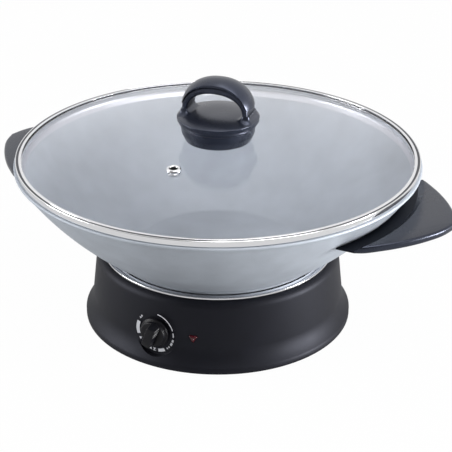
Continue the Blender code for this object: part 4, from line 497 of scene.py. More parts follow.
def surface(name, color, roughness, metallic=0.0, **more):
    """A new material: returns it, its tree, its shader, and the place on the object in metres."""
    made = bpy.data.materials.new(name)
    made.use_nodes = True
    tree = made.node_tree
    shader = tree.nodes["Principled BSDF"]
    connect(tree, shader, {"Base Color": linear(color), "Roughness": roughness, "Metallic": metallic})
    for key, value in more.items():
        shader.inputs[key.replace("_", " ").title().replace("Ior", "IOR")].default_value = value
    return made, tree, shader, add_node(tree, "TexCoord").outputs["Object"]


def tinted(tree, shader, dark, pale, share):
    """Colours the surface between two colours."""
    tint = add_node(tree, "Mix", {0: share, 6: linear(dark), 7: linear(pale)}, data_type="RGBA")
    connect(tree, shader, {"Base Color": tint.outputs[2]})


def textured(tree, shader, dark, pale, share, gloss, relief, height):
    """Leads patterns to the surface's colour, roughness and relief of the given height in mm."""
    tinted(tree, shader, dark, pale, share)
    bump = add_node(tree, "Bump", {"Height": relief, "Distance": height * MM})
    connect(tree, shader, {"Roughness": gloss, "Normal": bump})


def grained(name, dark, pale, roughness, spread, grain, height, metallic=0.0, **more):
    """A surface whose colour, gloss and height follow one noise of the given grain in mm."""
    made, tree, shader, spot = surface(name, pale, roughness, metallic, **more)
    noise = add_node(
        tree, "TexNoise", {"Vector": spot, "Scale": 1 / (grain * MM), "Detail": 4.0, "Roughness": 0.6}
    )
    cloud = add_node(
        tree, "TexNoise", {"Vector": spot, "Scale": 1 / (grain * MM * 40), "Detail": 3.0, "Roughness": 0.5}
    )
    both = add_node(tree, "Math", {0: noise, 1: cloud}, operation="ADD")
    share = add_node(tree, "MapRange", {"Value": both, "From Min": 0.7, "From Max": 1.3})
    gloss = add_node(
        tree, "MapRange", {"Value": share, "To Min": roughness - spread, "To Max": roughness + spread}
    )
    textured(tree, shader, dark, pale, share, gloss, noise, height)
    return made


def turned_metal(name, dark, pale, roughness, spread, ring, height):
    """Metal polished while it turned: fine rings about the Z axis, this many mm apart."""
    made, tree, shader, spot = surface(name, pale, roughness, 1.0)
    flat = add_node(tree, "VectorMath", {0: spot, 1: (1, 1, 0)}, operation="MULTIPLY")
    reach = add_node(tree, "VectorMath", {0: flat}, operation="LENGTH")
    parts = add_node(tree, "SeparateXYZ", {0: spot})
    line = add_node(tree, "CombineXYZ", {"X": reach.outputs["Value"], "Y": parts.outputs["Z"]})
    rings = add_node(
        tree, "TexNoise", {"Vector": line, "Scale": 1 / (ring * MM), "Detail": 3.0, "Roughness": 0.7}
    )
    marks = add_node(
        tree, "TexNoise", {"Vector": spot, "Scale": 1 / (ring * MM * 60), "Detail": 4.0, "Roughness": 0.6}
    )
    gloss = add_node(
        tree, "MapRange",
        {
            "Value": marks, "From Min": 0.35, "From Max": 0.65,
            "To Min": roughness - spread, "To Max": roughness + spread,
        },
    )
    textured(tree, shader, dark, pale, rings, gloss, rings, height)
    return made


# Grain and rings are given in millimetres. The marks of turning and polishing are really 0.05 to
# 0.2 mm apart, and the grain of mouldings is about 0.1 mm wide. Both are too fine to show, so they
# are drawn 0.3 to 0.8 mm wide.

# Cast aluminium under a sprayed, baked satin coating: an even cool grey, faint sparkle, soft gloss.
SATIN_COATING = grained(
    "satin_grey_coating_on_cast_aluminium", "#a2a8b1", "#b0b7c0", 0.56, 0.04, 0.5, 0.008,
    metallic=0.3,
)
# Cast aluminium turned bare round the mouth: pale, with the tool's fine rings.
BARE_ALUMINIUM = turned_metal(
    "turned_bare_aluminium", "#b0b2ba", "#c8cad1", 0.42, 0.05, 0.5, 0.004
)
# Spun and polished stainless steel: bright, mirror-like along the rings that polishing leaves.
POLISHED_STEEL = turned_metal(
    "polished_stainless_steel", "#d9d9dc", "#f1f1f2", 0.10, 0.04, 0.35, 0.0012
)
# Dark steel in the groove that the rolling tool leaves in the ring: painted shade for the shadow in the
# groove.
GROOVE_SHADE_STEEL = turned_metal(
    "stainless_steel_painted_groove_shade", "#3e3f43", "#5a5b60", 0.38, 0.05, 0.5, 0.004
)
# The dish, of the same sheet, spun and left a little duller.
SPUN_STEEL = turned_metal(
    "spun_stainless_steel", "#c4c4c8", "#e6e6e8", 0.16, 0.05, 0.6, 0.004
)
# Zinc-plated steel of pressed straps, screws and washers: grey-white, satin, slightly patchy.
ZINC_STEEL = grained(
    "zinc_plated_steel", "#9c9ea1", "#c3c5c8", 0.34, 0.08, 0.3, 0.004, metallic=1.0
)
# Sheathed heater tube, oxidised by heat: dark grey-brown steel.
HEATER_STEEL = grained(
    "heat_darkened_steel", "#4d4844", "#6f6a66", 0.42, 0.08, 0.5, 0.008, metallic=1.0
)
# Sand-cast aluminium with a machined top: pale grey, with the tool's rings.
CAST_ALUMINIUM = turned_metal(
    "machined_cast_aluminium", "#8d8f92", "#b4b6b9", 0.34, 0.06, 0.8, 0.012
)
# Drawn aluminium rod and tube: pale, satin, a little streaky.
DRAWN_ALUMINIUM = grained(
    "drawn_aluminium", "#a9abae", "#c6c8ca", 0.30, 0.05, 0.3, 0.004, metallic=1.0
)
# Compression-moulded phenolic: near black with a cool bluish bloom, satin, fine orange peel.
PHENOLIC = grained(
    "black_phenolic_moulding", "#12151c", "#191c26", 0.29, 0.04, 0.6, 0.004,
    specular_ior_level=0.85, specular_tint=linear("#ccd4f0"),
)
# The same phenolic in the handles: a little less polished.
HANDLE_PHENOLIC = grained(
    "satin_phenolic_moulding", "#0e1117", "#14171f", 0.29, 0.04, 0.6, 0.004,
    specular_ior_level=0.65, specular_tint=linear("#ccd4f0"),
)
# The floor of the handles' valley: the same black with its sheen taken away, painted shade for the shadow
# under the wok's rim.
VALLEY_SHADE_PHENOLIC = grained(
    "phenolic_painted_valley_shade", "#0e1117", "#14171f", 0.34, 0.04, 0.6, 0.004,
    specular_ior_level=0.05, specular_tint=linear("#ccd4f0"),
)
# Glass-filled polyamide of the dial: blacker than the phenolic, satin.
POLYAMIDE = grained(
    "black_polyamide", "#08080c", "#0e0e14", 0.40, 0.03, 0.5, 0.004, specular_ior_level=0.22
)
# Injection-moulded polypropylene shell: black, satin, with a fine spark-eroded grain.
SHELL_PLASTIC = grained(
    "black_moulded_polypropylene", "#060609", "#0b0b11", 0.53, 0.03, 0.45, 0.006,
    specular_ior_level=0.3, specular_tint=linear("#d8dcf0"),
)
# Moulded rubber: matt, a dull black.
RUBBER = grained("black_rubber", "#1b1b1c", "#242425", 0.78, 0.06, 0.6, 0.03)
# Pressed and turned brass, and drawn copper: bright, with faint stains.
BRASS = grained("pressed_brass", "#a5853f", "#c7a55a", 0.30, 0.06, 0.3, 0.004, metallic=1.0)
COPPER = grained("drawn_copper", "#a8643f", "#c98156", 0.32, 0.06, 0.3, 0.004, metallic=1.0)
# Cast silicone: milky white, soft sheen.
SILICONE = grained("white_silicone", "#d6d5d0", "#e4e3de", 0.52, 0.05, 0.6, 0.01)
# Urea moulding that stands heat: cream, smooth.
UREA = grained("cream_urea_moulding", "#cfc6ae", "#ddd5bf", 0.46, 0.05, 0.5, 0.01)
# PVC extruded round the leads: smooth, half glossy.
BROWN_PVC = grained("brown_pvc_insulation", "#4a2b1c", "#5b3826", 0.42, 0.05, 0.4, 0.008)
BLUE_PVC = grained("blue_pvc_insulation", "#23548f", "#2f68aa", 0.42, 0.05, 0.4, 0.008)
# White pad print on the dial's flat: slightly chalky.
PAD_PRINT = grained("white_pad_print", "#c9cbd2", "#e2e3e8", 0.48, 0.05, 0.3, 0.01)


def earth_insulation():
    """Green PVC with a yellow stripe that winds round the lead."""
    made, tree, shader, spot = surface("green_yellow_pvc_insulation", "#3f8a35", 0.42)
    bands = add_node(
        tree, "TexWave", {"Vector": spot, "Scale": 1 / (100 * MM), "Distortion": 1.0},
        wave_type="BANDS", bands_direction="DIAGONAL",
    )
    side = add_node(tree, "Math", {0: bands.outputs["Fac"], 1: 0.6}, operation="GREATER_THAN")
    tinted(tree, shader, "#2f7d33", "#d9c53a", side)
    return made


def tempered_glass():
    """Clear float glass, pressed into a dome and tempered: nearly colourless, glossy, a few streaks.

    An index below the real 1.52 keeps the knob's mirror image faint. The light of lamps and
    scattered light pass straight through, as through thin real glass.
    """
    made, tree, shader, spot = surface(
        "tempered_soda_lime_glass", "#f8f8f9", 0.02, ior=1.2, transmission_weight=1.0
    )
    streaks = add_node(tree, "TexNoise", {"Vector": spot, "Scale": 1 / (60 * MM), "Detail": 2.0})
    relief = add_node(tree, "Bump", {"Height": streaks, "Distance": 0.05 * MM, "Strength": 0.4})
    smear = add_node(
        tree, "MapRange",
        {"Value": streaks, "From Min": 0.4, "From Max": 0.7, "To Min": 0.01, "To Max": 0.04},
    )
    connect(tree, shader, {"Normal": relief, "Roughness": smear})
    path = add_node(tree, "LightPath").outputs
    passes = add_node(
        tree, "Math", {0: path["Is Shadow Ray"], 1: path["Is Diffuse Ray"]}, operation="MAXIMUM"
    )
    clear = add_node(tree, "BsdfTransparent", {"Color": linear("#f3f3f4")})
    mix = add_node(tree, "MixShader", {0: passes, 1: shader, 2: clear})
    connect(tree, tree.nodes["Material Output"], {"Surface": mix})
    return made


def lens_plastic():
    """Clear red polycarbonate over a dark lamp: deep red, glossy, moulded smooth."""
    made, tree, shader, spot = surface(
        "red_polycarbonate", "#4a0a12", 0.14, ior=1.5, transmission_weight=0.2
    )
    noise = add_node(tree, "TexNoise", {"Vector": spot, "Scale": 1 / (4 * MM), "Detail": 2.0})
    tinted(tree, shader, "#35070c", "#611122", noise)
    return made


EARTH_PVC = earth_insulation()
GLASS = tempered_glass()
LENS = lens_plastic()


# Wok


def wok_arc():
    """The middle of the arc that the wok's outer wall follows."""
    neck = Vector((RIM_RADIUS - LIP_OVERHANG, RIM_HEIGHT - NECK_DROP))
    foot = Vector((WOK_FOOT_RADIUS, WOK_FOOT_HEIGHT))
    chord = foot - neck
    side = Vector((chord.y, -chord.x)).normalized()
    return (neck + foot) / 2 + side * math.sqrt(WOK_WALL_ARC ** 2 - (chord.length / 2) ** 2)


def wok_inner_arc():
    """The inner wall's arc: its middle, its radius, and the height where it meets the mouth."""
    centre = wok_arc()
    radius = WOK_WALL_ARC - WOK_WALL
    top = centre.y - math.sqrt(radius ** 2 - (MOUTH_RADIUS - MOUTH_ROUND - centre.x) ** 2)
    return centre, radius, top


def arc_line(centre, radius, start_height, end_height, parts):
    """Points of the arc between two heights, on its outer, lower side."""
    first = math.asin((start_height - centre.y) / radius)
    last = math.asin((end_height - centre.y) / radius)
    turns = [first + (last - first) * step / parts for step in range(parts + 1)]
    return [(centre.x + radius * math.cos(turn), centre.y + radius * math.sin(turn)) for turn in turns]


def wok_profile():
    """Floor, inner wall, lip, outer wall with its seat bead, and foot."""
    centre, inner_radius, top = wok_inner_arc()
    floor_end = WOK_FLOOR_HEIGHT + WOK_FLOOR_EDGE
    inside = arc_line(centre, inner_radius, floor_end, top, WOK_ARC_PARTS)
    floor_edge = arc_line(centre, inner_radius, WOK_FLOOR_HEIGHT, floor_end, 1)[0]
    floor = rounded([
        (0, WOK_FLOOR_HEIGHT, 0), (*floor_edge, WOK_FLOOR_FILLET), (*inside[0], 0),
    ], parts=8)
    lip = rounded([
        (*inside[-1], 0),
        (MOUTH_RADIUS, RIM_HEIGHT, 0.5),
        (RIM_RADIUS, RIM_HEIGHT, 0.9),
        (RIM_RADIUS, RIM_HEIGHT - LIP_DEPTH, 1.0),
        (RIM_RADIUS - LIP_OVERHANG, RIM_HEIGHT - NECK_DROP, 0),
    ])
    outside = arc_line(
        centre, WOK_WALL_ARC, RIM_HEIGHT - NECK_DROP, WOK_FOOT_HEIGHT + 1.6 * MM, WOK_ARC_PARTS
    )
    above = [point for point in outside if point[1] > SEAT_BEAD_HEIGHT + SEAT_BEAD_REACH]
    below = [point for point in outside if point[1] < SEAT_BEAD_HEIGHT - SEAT_BEAD_REACH]
    across = arc_line(centre, WOK_WALL_ARC, SEAT_BEAD_HEIGHT, SEAT_BEAD_HEIGHT, 1)[0][0]
    bead = rounded([
        (*above[-1], 0),
        (across + SEAT_BEAD, SEAT_BEAD_HEIGHT + 1.2 * MM, 0.3),
        (across + SEAT_BEAD, SEAT_BEAD_HEIGHT + 0.6 * MM, 0.5),
        (across + SEAT_BEAD - 0.4 * MM, SEAT_BEAD_HEIGHT - 1.2 * MM, 0.5),
        (*below[0], 0),
    ])
    outside = above + bead[1:-1] + below
    ring_inside = WOK_FOOT_RADIUS - WOK_FOOT_RING
    foot = rounded([
        (*outside[-1], 0),
        (WOK_FOOT_RADIUS, WOK_FOOT_HEIGHT, 2.0),
        (ring_inside, WOK_FOOT_HEIGHT, 0.4),
        (ring_inside - 0.6 * MM, WOK_FOOT_HEIGHT + WOK_FOOT_RECESS, 0.4),
        (0, WOK_FOOT_HEIGHT + WOK_FOOT_RECESS, 0),
    ])
    return floor[:-1] + inside + lip[1:-1] + outside + foot[1:]


def make_wok_bowl():
    placed(turned("wok_cast_bowl", wok_profile()), "wok", SATIN_COATING, "wok_bowl")


def make_bare_band():
    """The turned, uncoated band round the wok's mouth, a hair proud of the coating below it."""
    centre, inner_radius, top = wok_inner_arc()
    face = arc_line(centre, inner_radius - BAND_STEP, BAND_HEIGHT, top, 10)
    back = arc_line(centre, inner_radius + 0.6 * MM, BAND_HEIGHT, top, 10)
    profile = rounded([
        (*face[-1], 0),
        (MOUTH_RADIUS - BAND_STEP, RIM_HEIGHT + 0.05 * MM, 0.4),
        (MOUTH_RADIUS + 1.2 * MM, RIM_HEIGHT + 0.05 * MM, 0),
        (MOUTH_RADIUS + 1.2 * MM, RIM_HEIGHT - 0.4 * MM, 0),
        (MOUTH_RADIUS + 0.6 * MM, RIM_HEIGHT - 0.4 * MM, 0),
    ])
    band = turned("wok_bare_band", face[:-1] + profile + back[::-1])
    placed(band, "wok", BARE_ALUMINIUM)


def wok_clearance():
    """The wok's outside, grown by the fit: the handles' inner side is cut by it."""
    grown = arc_line(wok_arc(), WOK_WALL_ARC + FIT, RIM_HEIGHT - NECK_DROP, WOK_FOOT_HEIGHT, WOK_ARC_PARTS)
    profile = [(0, RIM_HEIGHT), (grown[0][0], RIM_HEIGHT)] + grown + [(0, grown[-1][1])]
    return turned("wok_clearance", profile)


def handle_outline():
    length = HANDLE_REACH - HANDLE_ROOT
    half = [(HANDLE_ROOT + out * length, HANDLE_HALF_SPAN * along) for out, along in HANDLE_OUTLINE_SHARES]
    half = smooth_line(half, 7) + [(HANDLE_INNER, HANDLE_HALF_SPAN)]
    return [(across, -along) for across, along in reversed(half) if along > 0] + half


def valley_cutter():
    """Clears the valley along the wok's wall, with its outer ridge rounded over."""
    floor = HANDLE_TOP - HANDLE_THICKNESS + HANDLE_SHELF
    top = HANDLE_TOP + 4.0 * MM
    corner = []
    for degrees in (90, 68, 45, 22, 0):
        turn = math.radians(degrees)
        corner.append((
            HANDLE_RIDGE_RADIUS + HANDLE_RIDGE_ROUND * (1 - math.cos(turn)),
            HANDLE_TOP - HANDLE_RIDGE_ROUND * (1 - math.sin(turn)),
        ))
    slope = rounded([
        (*corner[-1], 0), (VALLEY_FLOOR_RADIUS, floor, 1.2), (HANDLE_INNER, floor, 0),
    ])
    profile = [(HANDLE_INNER, top), (HANDLE_RIDGE_RADIUS + HANDLE_RIDGE_ROUND, top)] + corner + slope[1:]
    return turned("handle_valley", profile)


def make_handles():
    lift = Matrix.Translation((0, 0, HANDLE_TOP - HANDLE_THICKNESS / 2))
    for side, degrees in HANDLE_ANGLES:
        name, place = "handle_%s_moulding" % side, about("Z", degrees) @ lift
        handle = plate(name, handle_outline(), HANDLE_THICKNESS, HANDLE_EDGE, 5, place)
        carve(handle, [wok_clearance(), valley_cutter()], sharp_angle=30)
        placed(handle, "wok", HANDLE_PHENOLIC, "handle_" + side)
        # Faces nearer the wok than the valley floor's edge get the sheenless copy: painted shade under the
        # wok's rim.
        handle.data.materials.append(VALLEY_SHADE_PHENOLIC)
        for face in handle.data.polygons:
            if face.center.xy.length < VALLEY_FLOOR_RADIUS:
                face.material_index = 1


# Lid


def make_lid_ring():
    lip = RING_RADIUS - RING_LIP
    inner = RING_RADIUS - RING_SHEET
    spigot_inner = SPIGOT_RADIUS - RING_SHEET
    groove = RING_TOP - GROOVE_DEPTH
    profile = rounded([
        (lip, RING_TOP, 0.35),
        (lip + 2.2 * MM, RING_TOP, 0.3),
        (GROOVE_INNER, groove, 0.2),
        (GROOVE_OUTER, groove, 0.2),
        (RING_RADIUS - 0.6 * MM, RING_TOP, 0.3),
        (RING_RADIUS, RING_TOP - 0.5 * MM, 0.6),
        (RING_RADIUS, RING_BOTTOM, 0.5),
        (SPIGOT_RADIUS, RING_BOTTOM, 0.4),
        (SPIGOT_RADIUS, SPIGOT_BOTTOM, 0.35),
        (spigot_inner, SPIGOT_BOTTOM, 0.35),
        (spigot_inner, RING_BOTTOM + RING_SHEET, 0.3),
        (inner, RING_BOTTOM + RING_SHEET, 0),
        (inner, RING_TOP - RING_SHEET, 0.3),
        (lip, RING_TOP - RING_SHEET, 0.35),
    ], closed=True)
    ring = turned("lid_steel_ring", profile, RING_STEPS)
    placed(ring, "lid", POLISHED_STEEL, "lid_ring")
    # A thin dark steel strip laid in the groove: painted shade for the groove's shadow.
    groove_shade = box_profile(GROOVE_INNER, GROOVE_OUTER, groove - 0.2 * MM, groove + 0.08 * MM)
    groove_shade = turned("lid_ring_painted_groove_shade", groove_shade, RING_STEPS)
    placed(groove_shade, "lid", GROOVE_SHADE_STEEL)


def glass_top(radius):
    """Height of the dome's upper face at this radius."""
    share = min(radius / GLASS_DOME_RADIUS, 1)
    return GLASS_EDGE_TOP + GLASS_RISE * (1 - share ** 2)


def make_lid_glass():
    span = GLASS_DOME_RADIUS - GLASS_HOLE_RADIUS
    rounds = [GLASS_HOLE_RADIUS + span * step / GLASS_PARTS for step in range(GLASS_PARTS + 1)]
    upper = [(radius, glass_top(radius)) for radius in rounds]
    lower = [(radius, height - GLASS_THICKNESS) for radius, height in reversed(upper)]
    edge = rounded([
        (*upper[-1], 0),
        (GLASS_EDGE_RADIUS, GLASS_EDGE_TOP, 0.8),
        (GLASS_EDGE_RADIUS, GLASS_EDGE_TOP - GLASS_THICKNESS, 0.8),
        (*lower[0], 0),
    ])
    glass = turned("lid_glass_dome", upper[:-1] + edge + lower[1:])
    bore = box_profile(0, VENT_TUBE_RADIUS + FIT, 4.0 * MM, -8.0 * MM)
    carve(glass, [turned("vent_bore", bore, SMALL_STEPS, vent_place())])
    placed(glass, "lid", GLASS, "lid_glass")


def vent_place():
    """The vent's own frame, leaning with the dome."""
    lean = math.atan(2 * GLASS_RISE * VENT_REACH / GLASS_DOME_RADIUS ** 2)
    foot = Matrix.Translation(polar(VENT_REACH, VENT_ANGLE, glass_top(VENT_REACH)))
    return foot @ about("Z", VENT_ANGLE + 90) @ Matrix.Rotation(lean, 4, "X")


def make_vent():
    top, bottom = FIT, -GLASS_THICKNESS - FIT
    profile = rounded([
        (VENT_BORE_RADIUS, top + VENT_FLANGE, 0.9),
        (VENT_FLANGE_RADIUS - 0.6 * MM, top + VENT_FLANGE, 0.8),
        (VENT_FLANGE_RADIUS, top, 0.2),
        (VENT_TUBE_RADIUS, top, 0),
        (VENT_TUBE_RADIUS, bottom, 0),
        (VENT_TUBE_RADIUS + 0.8 * MM, bottom, 0.2),
        (VENT_TUBE_RADIUS + 0.4 * MM, bottom - VENT_FLANGE, 0.6),
        (VENT_BORE_RADIUS, bottom - VENT_FLANGE, 0.5),
    ], closed=True, parts=6)
    vent = turned("vent_steel_eyelet", profile, SMALL_STEPS, vent_place())
    placed(vent, "lid", POLISHED_STEEL, "vent_eyelet")
    # A thin black rubber sleeve inside the bore: painted shade for the dark inside of the hole.
    profile = box_profile(
        VENT_BORE_RADIUS + 0.3 * MM, VENT_BORE_RADIUS - 0.4 * MM, top + 0.9 * MM,
        bottom - VENT_FLANGE + 0.2 * MM,
    )
    bore_shade = turned("vent_bore_painted_shade_sleeve", profile, SMALL_STEPS, vent_place())
    placed(bore_shade, "lid", RUBBER)


def make_knob_skirt():
    foot = glass_top(SKIRT_FOOT_RADIUS) + 0.6 * MM
    top = DISC_UNDERSIDE - FIT
    step = top - SKIRT_STEP_HEIGHT
    waist = (foot + step) / 2
    roof = top - SKIRT_WALL
    boss_foot = glass_top(0) + FIT
    profile = rounded([
        (SKIRT_BORE_RADIUS, top, 0),
        (SKIRT_TOP_RADIUS, top, 0.5),
        (SKIRT_TOP_RADIUS, step, 0.4),
        (SKIRT_TOP_RADIUS - 0.8 * MM, step - 0.8 * MM, 0.4),
        (SKIRT_WAIST_RADIUS, waist, 9.0),
        (SKIRT_FOOT_RADIUS, foot, 0.7),
        (SKIRT_FOOT_RADIUS - SKIRT_WALL, foot, 0.7),
        (SKIRT_WAIST_RADIUS - SKIRT_WALL, waist, 9.0),
        (SKIRT_TOP_RADIUS - SKIRT_WALL - 0.8 * MM, roof, 1.5),
        (SKIRT_BOSS_RADIUS, roof, 1.0),
        (SKIRT_BOSS_RADIUS, boss_foot, 0.4),
        (SKIRT_BORE_RADIUS, boss_foot, 0),
    ], closed=True, parts=6)
    placed(turned("knob_skirt_moulding", profile, KNOB_STEPS), "lid", PHENOLIC, "knob_skirt")


def arch_line(start, half_span, rise):
    """The squared-off arch from its right end to its left end, in (across, above the spring line)."""
    line = []
    for step in range(ARCH_PARTS + 1):
        turn = math.radians(start + (180 - 2 * start) * step / ARCH_PARTS)
        across = math.copysign(abs(math.cos(turn)) ** ARCH_ROUNDING_SHARE, math.cos(turn))
        line.append((half_span * across, rise * max(math.sin(turn), 0) ** ARCH_ROUNDING_SHARE))
    return line


def make_knob_body():
    dome = [(DISC_RADIUS * step / DOME_PARTS, disc_top(DISC_RADIUS * step / DOME_PARTS))
            for step in range(DOME_PARTS)]
    rim = rounded([
        (*dome[-1], 0),
        (DISC_RADIUS, disc_top(DISC_RADIUS), 0.5),
        (DISC_RADIUS - DISC_UNDERCUT, DISC_UNDERSIDE, 0.5),
        (0, DISC_UNDERSIDE, 0),
    ], parts=5)
    disc = turned("knob_disc_and_strap", dome[:-1] + rim, KNOB_STEPS)
    leg = DISC_UNDERSIDE + DISC_EDGE / 2 - ARCH_SPRING
    foot, inner_foot = STRAP_OUTER_HALF_SPAN + STRAP_FLARE, STRAP_INNER_HALF_SPAN
    outer = [(foot, leg)] + arch_line(0, STRAP_OUTER_HALF_SPAN, STRAP_RISE)[2:-2] + [(-foot, leg)]
    inner = arch_line(0, STRAP_INNER_HALF_SPAN, STRAP_RISE - STRAP_TOP_WALL)
    inner = [(inner_foot, leg)] + inner + [(-inner_foot, leg)]
    strap = plate("knob_strap", outer + inner[::-1], 2 * ARCH_HALF_WIDTH, STRAP_EDGE, 4, ARCH_PLACE)
    carve(disc, [strap, strap_foot_cove(1), strap_foot_cove(-1)], "UNION", sharp_angle=30)
    placed(disc, "lid", PHENOLIC, "knob_body")


def disc_top(radius):
    """Height of the domed disc's upper face at this radius."""
    return DISC_UNDERSIDE + DISC_EDGE + DISC_DOME * (1 - (radius / DISC_RADIUS) ** 3)


def strap_foot_cove(side):
    """Leads one foot of the strap into the disc in a cove all round, kept within the disc's edge."""
    rows = []
    for degrees in (0, 12, 24, 36, 48, 60, 72, 84, 90):
        grow = STRAP_COVE * (1 - math.cos(math.radians(degrees)))
        rise = STRAP_COVE * (1 - math.sin(math.radians(degrees)))
        near = STRAP_INNER_HALF_SPAN - grow
        far = STRAP_OUTER_HALF_SPAN + STRAP_FLARE + grow
        half = ARCH_HALF_WIDTH + grow
        corner = (STRAP_EDGE + grow) / MM
        outline = rounded(
            [(near, -half, corner), (far, -half, corner), (far, half, corner), (near, half, corner)],
            closed=True, parts=6,
        )
        rows.append([
            (side * across, along, disc_top(math.hypot(across, along)) + rise - 0.05 * MM)
            for across, along in outline
        ])
    rows.append([(*point[:2], DISC_UNDERSIDE + 1.0 * MM) for point in rows[-1]])
    cove = lofted("strap_foot_cove", rows, KNOB_TURN, 38)
    core = box_profile(0, DISC_RADIUS - 0.5 * MM, ARCH_SPRING + 10 * MM, DISC_UNDERSIDE + 0.5 * MM)
    return carve(cove, [turned("disc_core", core, KNOB_STEPS)], "INTERSECT")


def make_knob_cap():
    outer = arch_line(CAP_START_ANGLE, CAP_HALF_SPAN + 4.0 * MM, ARCH_RISE + 4.0 * MM)
    inner = arch_line(CAP_START_ANGLE, STRAP_OUTER_HALF_SPAN + FIT, STRAP_RISE + FIT)
    cap = plate("knob_cap_moulding", outer + inner[::-1], 2 * CAP_HALF_WIDTH, place=ARCH_PLACE)
    arch = arch_line(CAP_START_ANGLE, CAP_HALF_SPAN, ARCH_RISE)
    line = [(up - CAP_CROWN_RISE, across) for across, up in arch]
    lift = Matrix.Translation((0, 0, ARCH_SPRING + CAP_CROWN_RISE))
    profile = [(0, line[0][1])] + line + [(0, line[-1][1])]
    crown = turned("cap_crown", profile, KNOB_STEPS, lift @ KNOB_TURN @ about("Y", 90))
    carve(cap, [crown], "INTERSECT")
    bevelled(cap, CAP_EDGE, 4)
    placed(cap, "lid", PHENOLIC, "knob_cap")


# Base


def shell_outside():
    """The shell's outer line, from the well's edge over the shoulder and down to the foot."""
    line = [(WELL_RADIUS, SHELL_TOP), (LAND_RADIUS, SHELL_TOP)]
    for step in range(1, SHOULDER_PARTS + 1):
        turn = math.pi / 2 * step / SHOULDER_PARTS
        radius = LAND_RADIUS + SHOULDER_WIDTH * math.sin(turn)
        line.append((radius, SHELL_TOP - SHOULDER_HEIGHT * (1 - math.cos(turn))))
    drop = COVE_TOP_HEIGHT - SHELL_LIP
    for step in range(COVE_PARTS + 1):
        share = step / COVE_PARTS
        height = SHELL_BOTTOM + COVE_TOP_HEIGHT - drop * share
        line.append((COVE_TOP_RADIUS + COVE_DEPTH * share ** 2, height))
    return line


# The dial's own frame, on its flat: its Z points to the front.
DIAL_PLACE = Matrix.Translation((0, -DIAL_REACH, DIAL_HEIGHT)) @ FACING_FRONT
# The pilot lamp's own frame, on the shell: its Z points out.
LAMP_SPOT = Matrix.Translation(polar(LAMP_REACH, LAMP_ANGLE - 90, LAMP_HEIGHT))
LAMP_PLACE = LAMP_SPOT @ about("Z", LAMP_ANGLE) @ FACING_FRONT


def lens_outline(radius, fillet):
    """A triangle with rounded corners, one of them pointing down."""
    corners = [(*polar(radius, degrees).xy, fillet) for degrees in (-90, 30, 150)]
    return rounded(corners, closed=True, parts=6)


def make_base_shell():
    outside = shell_outside()
    foot = rounded([
        (*outside[-1], 0),
        (FOOT_RADIUS, SHELL_BOTTOM, 0.6),
        (FOOT_RADIUS - SHELL_WALL, SHELL_BOTTOM, 0.6),
        (FOOT_RADIUS - SHELL_WALL, SHELL_BOTTOM + SHELL_LIP, 0),
    ])
    inside = offset_line(outside, SHELL_WALL)[::-1]
    shell = turned("base_shell_moulding", outside + foot[1:-1] + inside)
    backing = box_profile(0, DIAL_FLAT_RADIUS + 2.0 * MM, -DIAL_FLAT_BACKING, 12.0 * MM)
    backing = turned("dial_backing", backing, KNOB_STEPS, DIAL_PLACE)
    middle = offset_line(outside, SHELL_WALL / 2)
    core = turned("shell_core", [(0, middle[0][1])] + middle + [(0, middle[-1][1])])
    carve(backing, [core], "INTERSECT")
    pad_centre = (0, PAD_REACH - PAD_SIZE[1] / 2, INLET_HEIGHT)
    carve(shell, [backing, block("inlet_pad", PAD_SIZE, pad_centre, 0.8 * MM)], "UNION")
    flat = rounded([
        (0, 0, 0),
        (DIAL_FLAT_RADIUS, 0, 0.5),
        (DIAL_FLAT_RADIUS + 0.6 * MM, 30 * MM, 0),
        (0, 30 * MM, 0),
    ])
    hole = box_profile(0, BUSH_HOLE_RADIUS, -10 * MM, 2 * MM)
    lamp = lens_outline(LENS_CORNER_RADIUS + 0.5 * MM, 1.1)
    carve(shell, [
        turned("dial_flat", flat, KNOB_STEPS, DIAL_PLACE),
        turned("bush_hole", hole, SMALL_STEPS, DIAL_PLACE),
        plate("lamp_hole", lamp, 12 * MM, place=LAMP_PLACE),
        block("inlet_opening", SOCKET_BODY_SIZE, pad_centre),
    ])
    placed(shell, "base", SHELL_PLASTIC, "base_shell")


def make_dish():
    flange = DISH_LAND + DISH_SHEET
    bead = flange + DISH_BEAD_HEIGHT - DISH_SHEET
    upper = rounded([
        (DISH_RIM_RADIUS, DISH_LAND, 0),
        (DISH_RIM_RADIUS, bead, 1.0),
        (DISH_RIM_RADIUS - DISH_BEAD_WIDTH, flange, 1.2),
        (DISH_WALL_RADIUS, flange, 1.2),
        (DISH_WALL_FOOT_RADIUS, DISH_LEDGE_HEIGHT, 1.6),
        (DISH_LEDGE_INNER_RADIUS, DISH_LEDGE_HEIGHT, 1.6),
        (DISH_FLOOR_RADIUS, DISH_FLOOR_HEIGHT, 1.6),
        (DISH_HOLE_RADIUS, DISH_FLOOR_HEIGHT, 0),
    ], parts=5)
    under = offset_line(upper, -DISH_SHEET)
    dish = turned("reflector_spun_dish", under + upper[::-1])
    placed(dish, "base", SPUN_STEEL, "reflector_dish")


def make_hot_plate():
    profile = rounded([
        (0, PLATE_TOP, 0),
        (PLATE_RADIUS, PLATE_TOP, 1.0),
        (PLATE_RADIUS, PLATE_UNDERSIDE, 0.8),
        (0, PLATE_UNDERSIDE, 0),
    ])
    placed(turned("hot_plate_casting", profile), "base", CAST_ALUMINIUM, "hot_plate")


# Dial, print and lamp


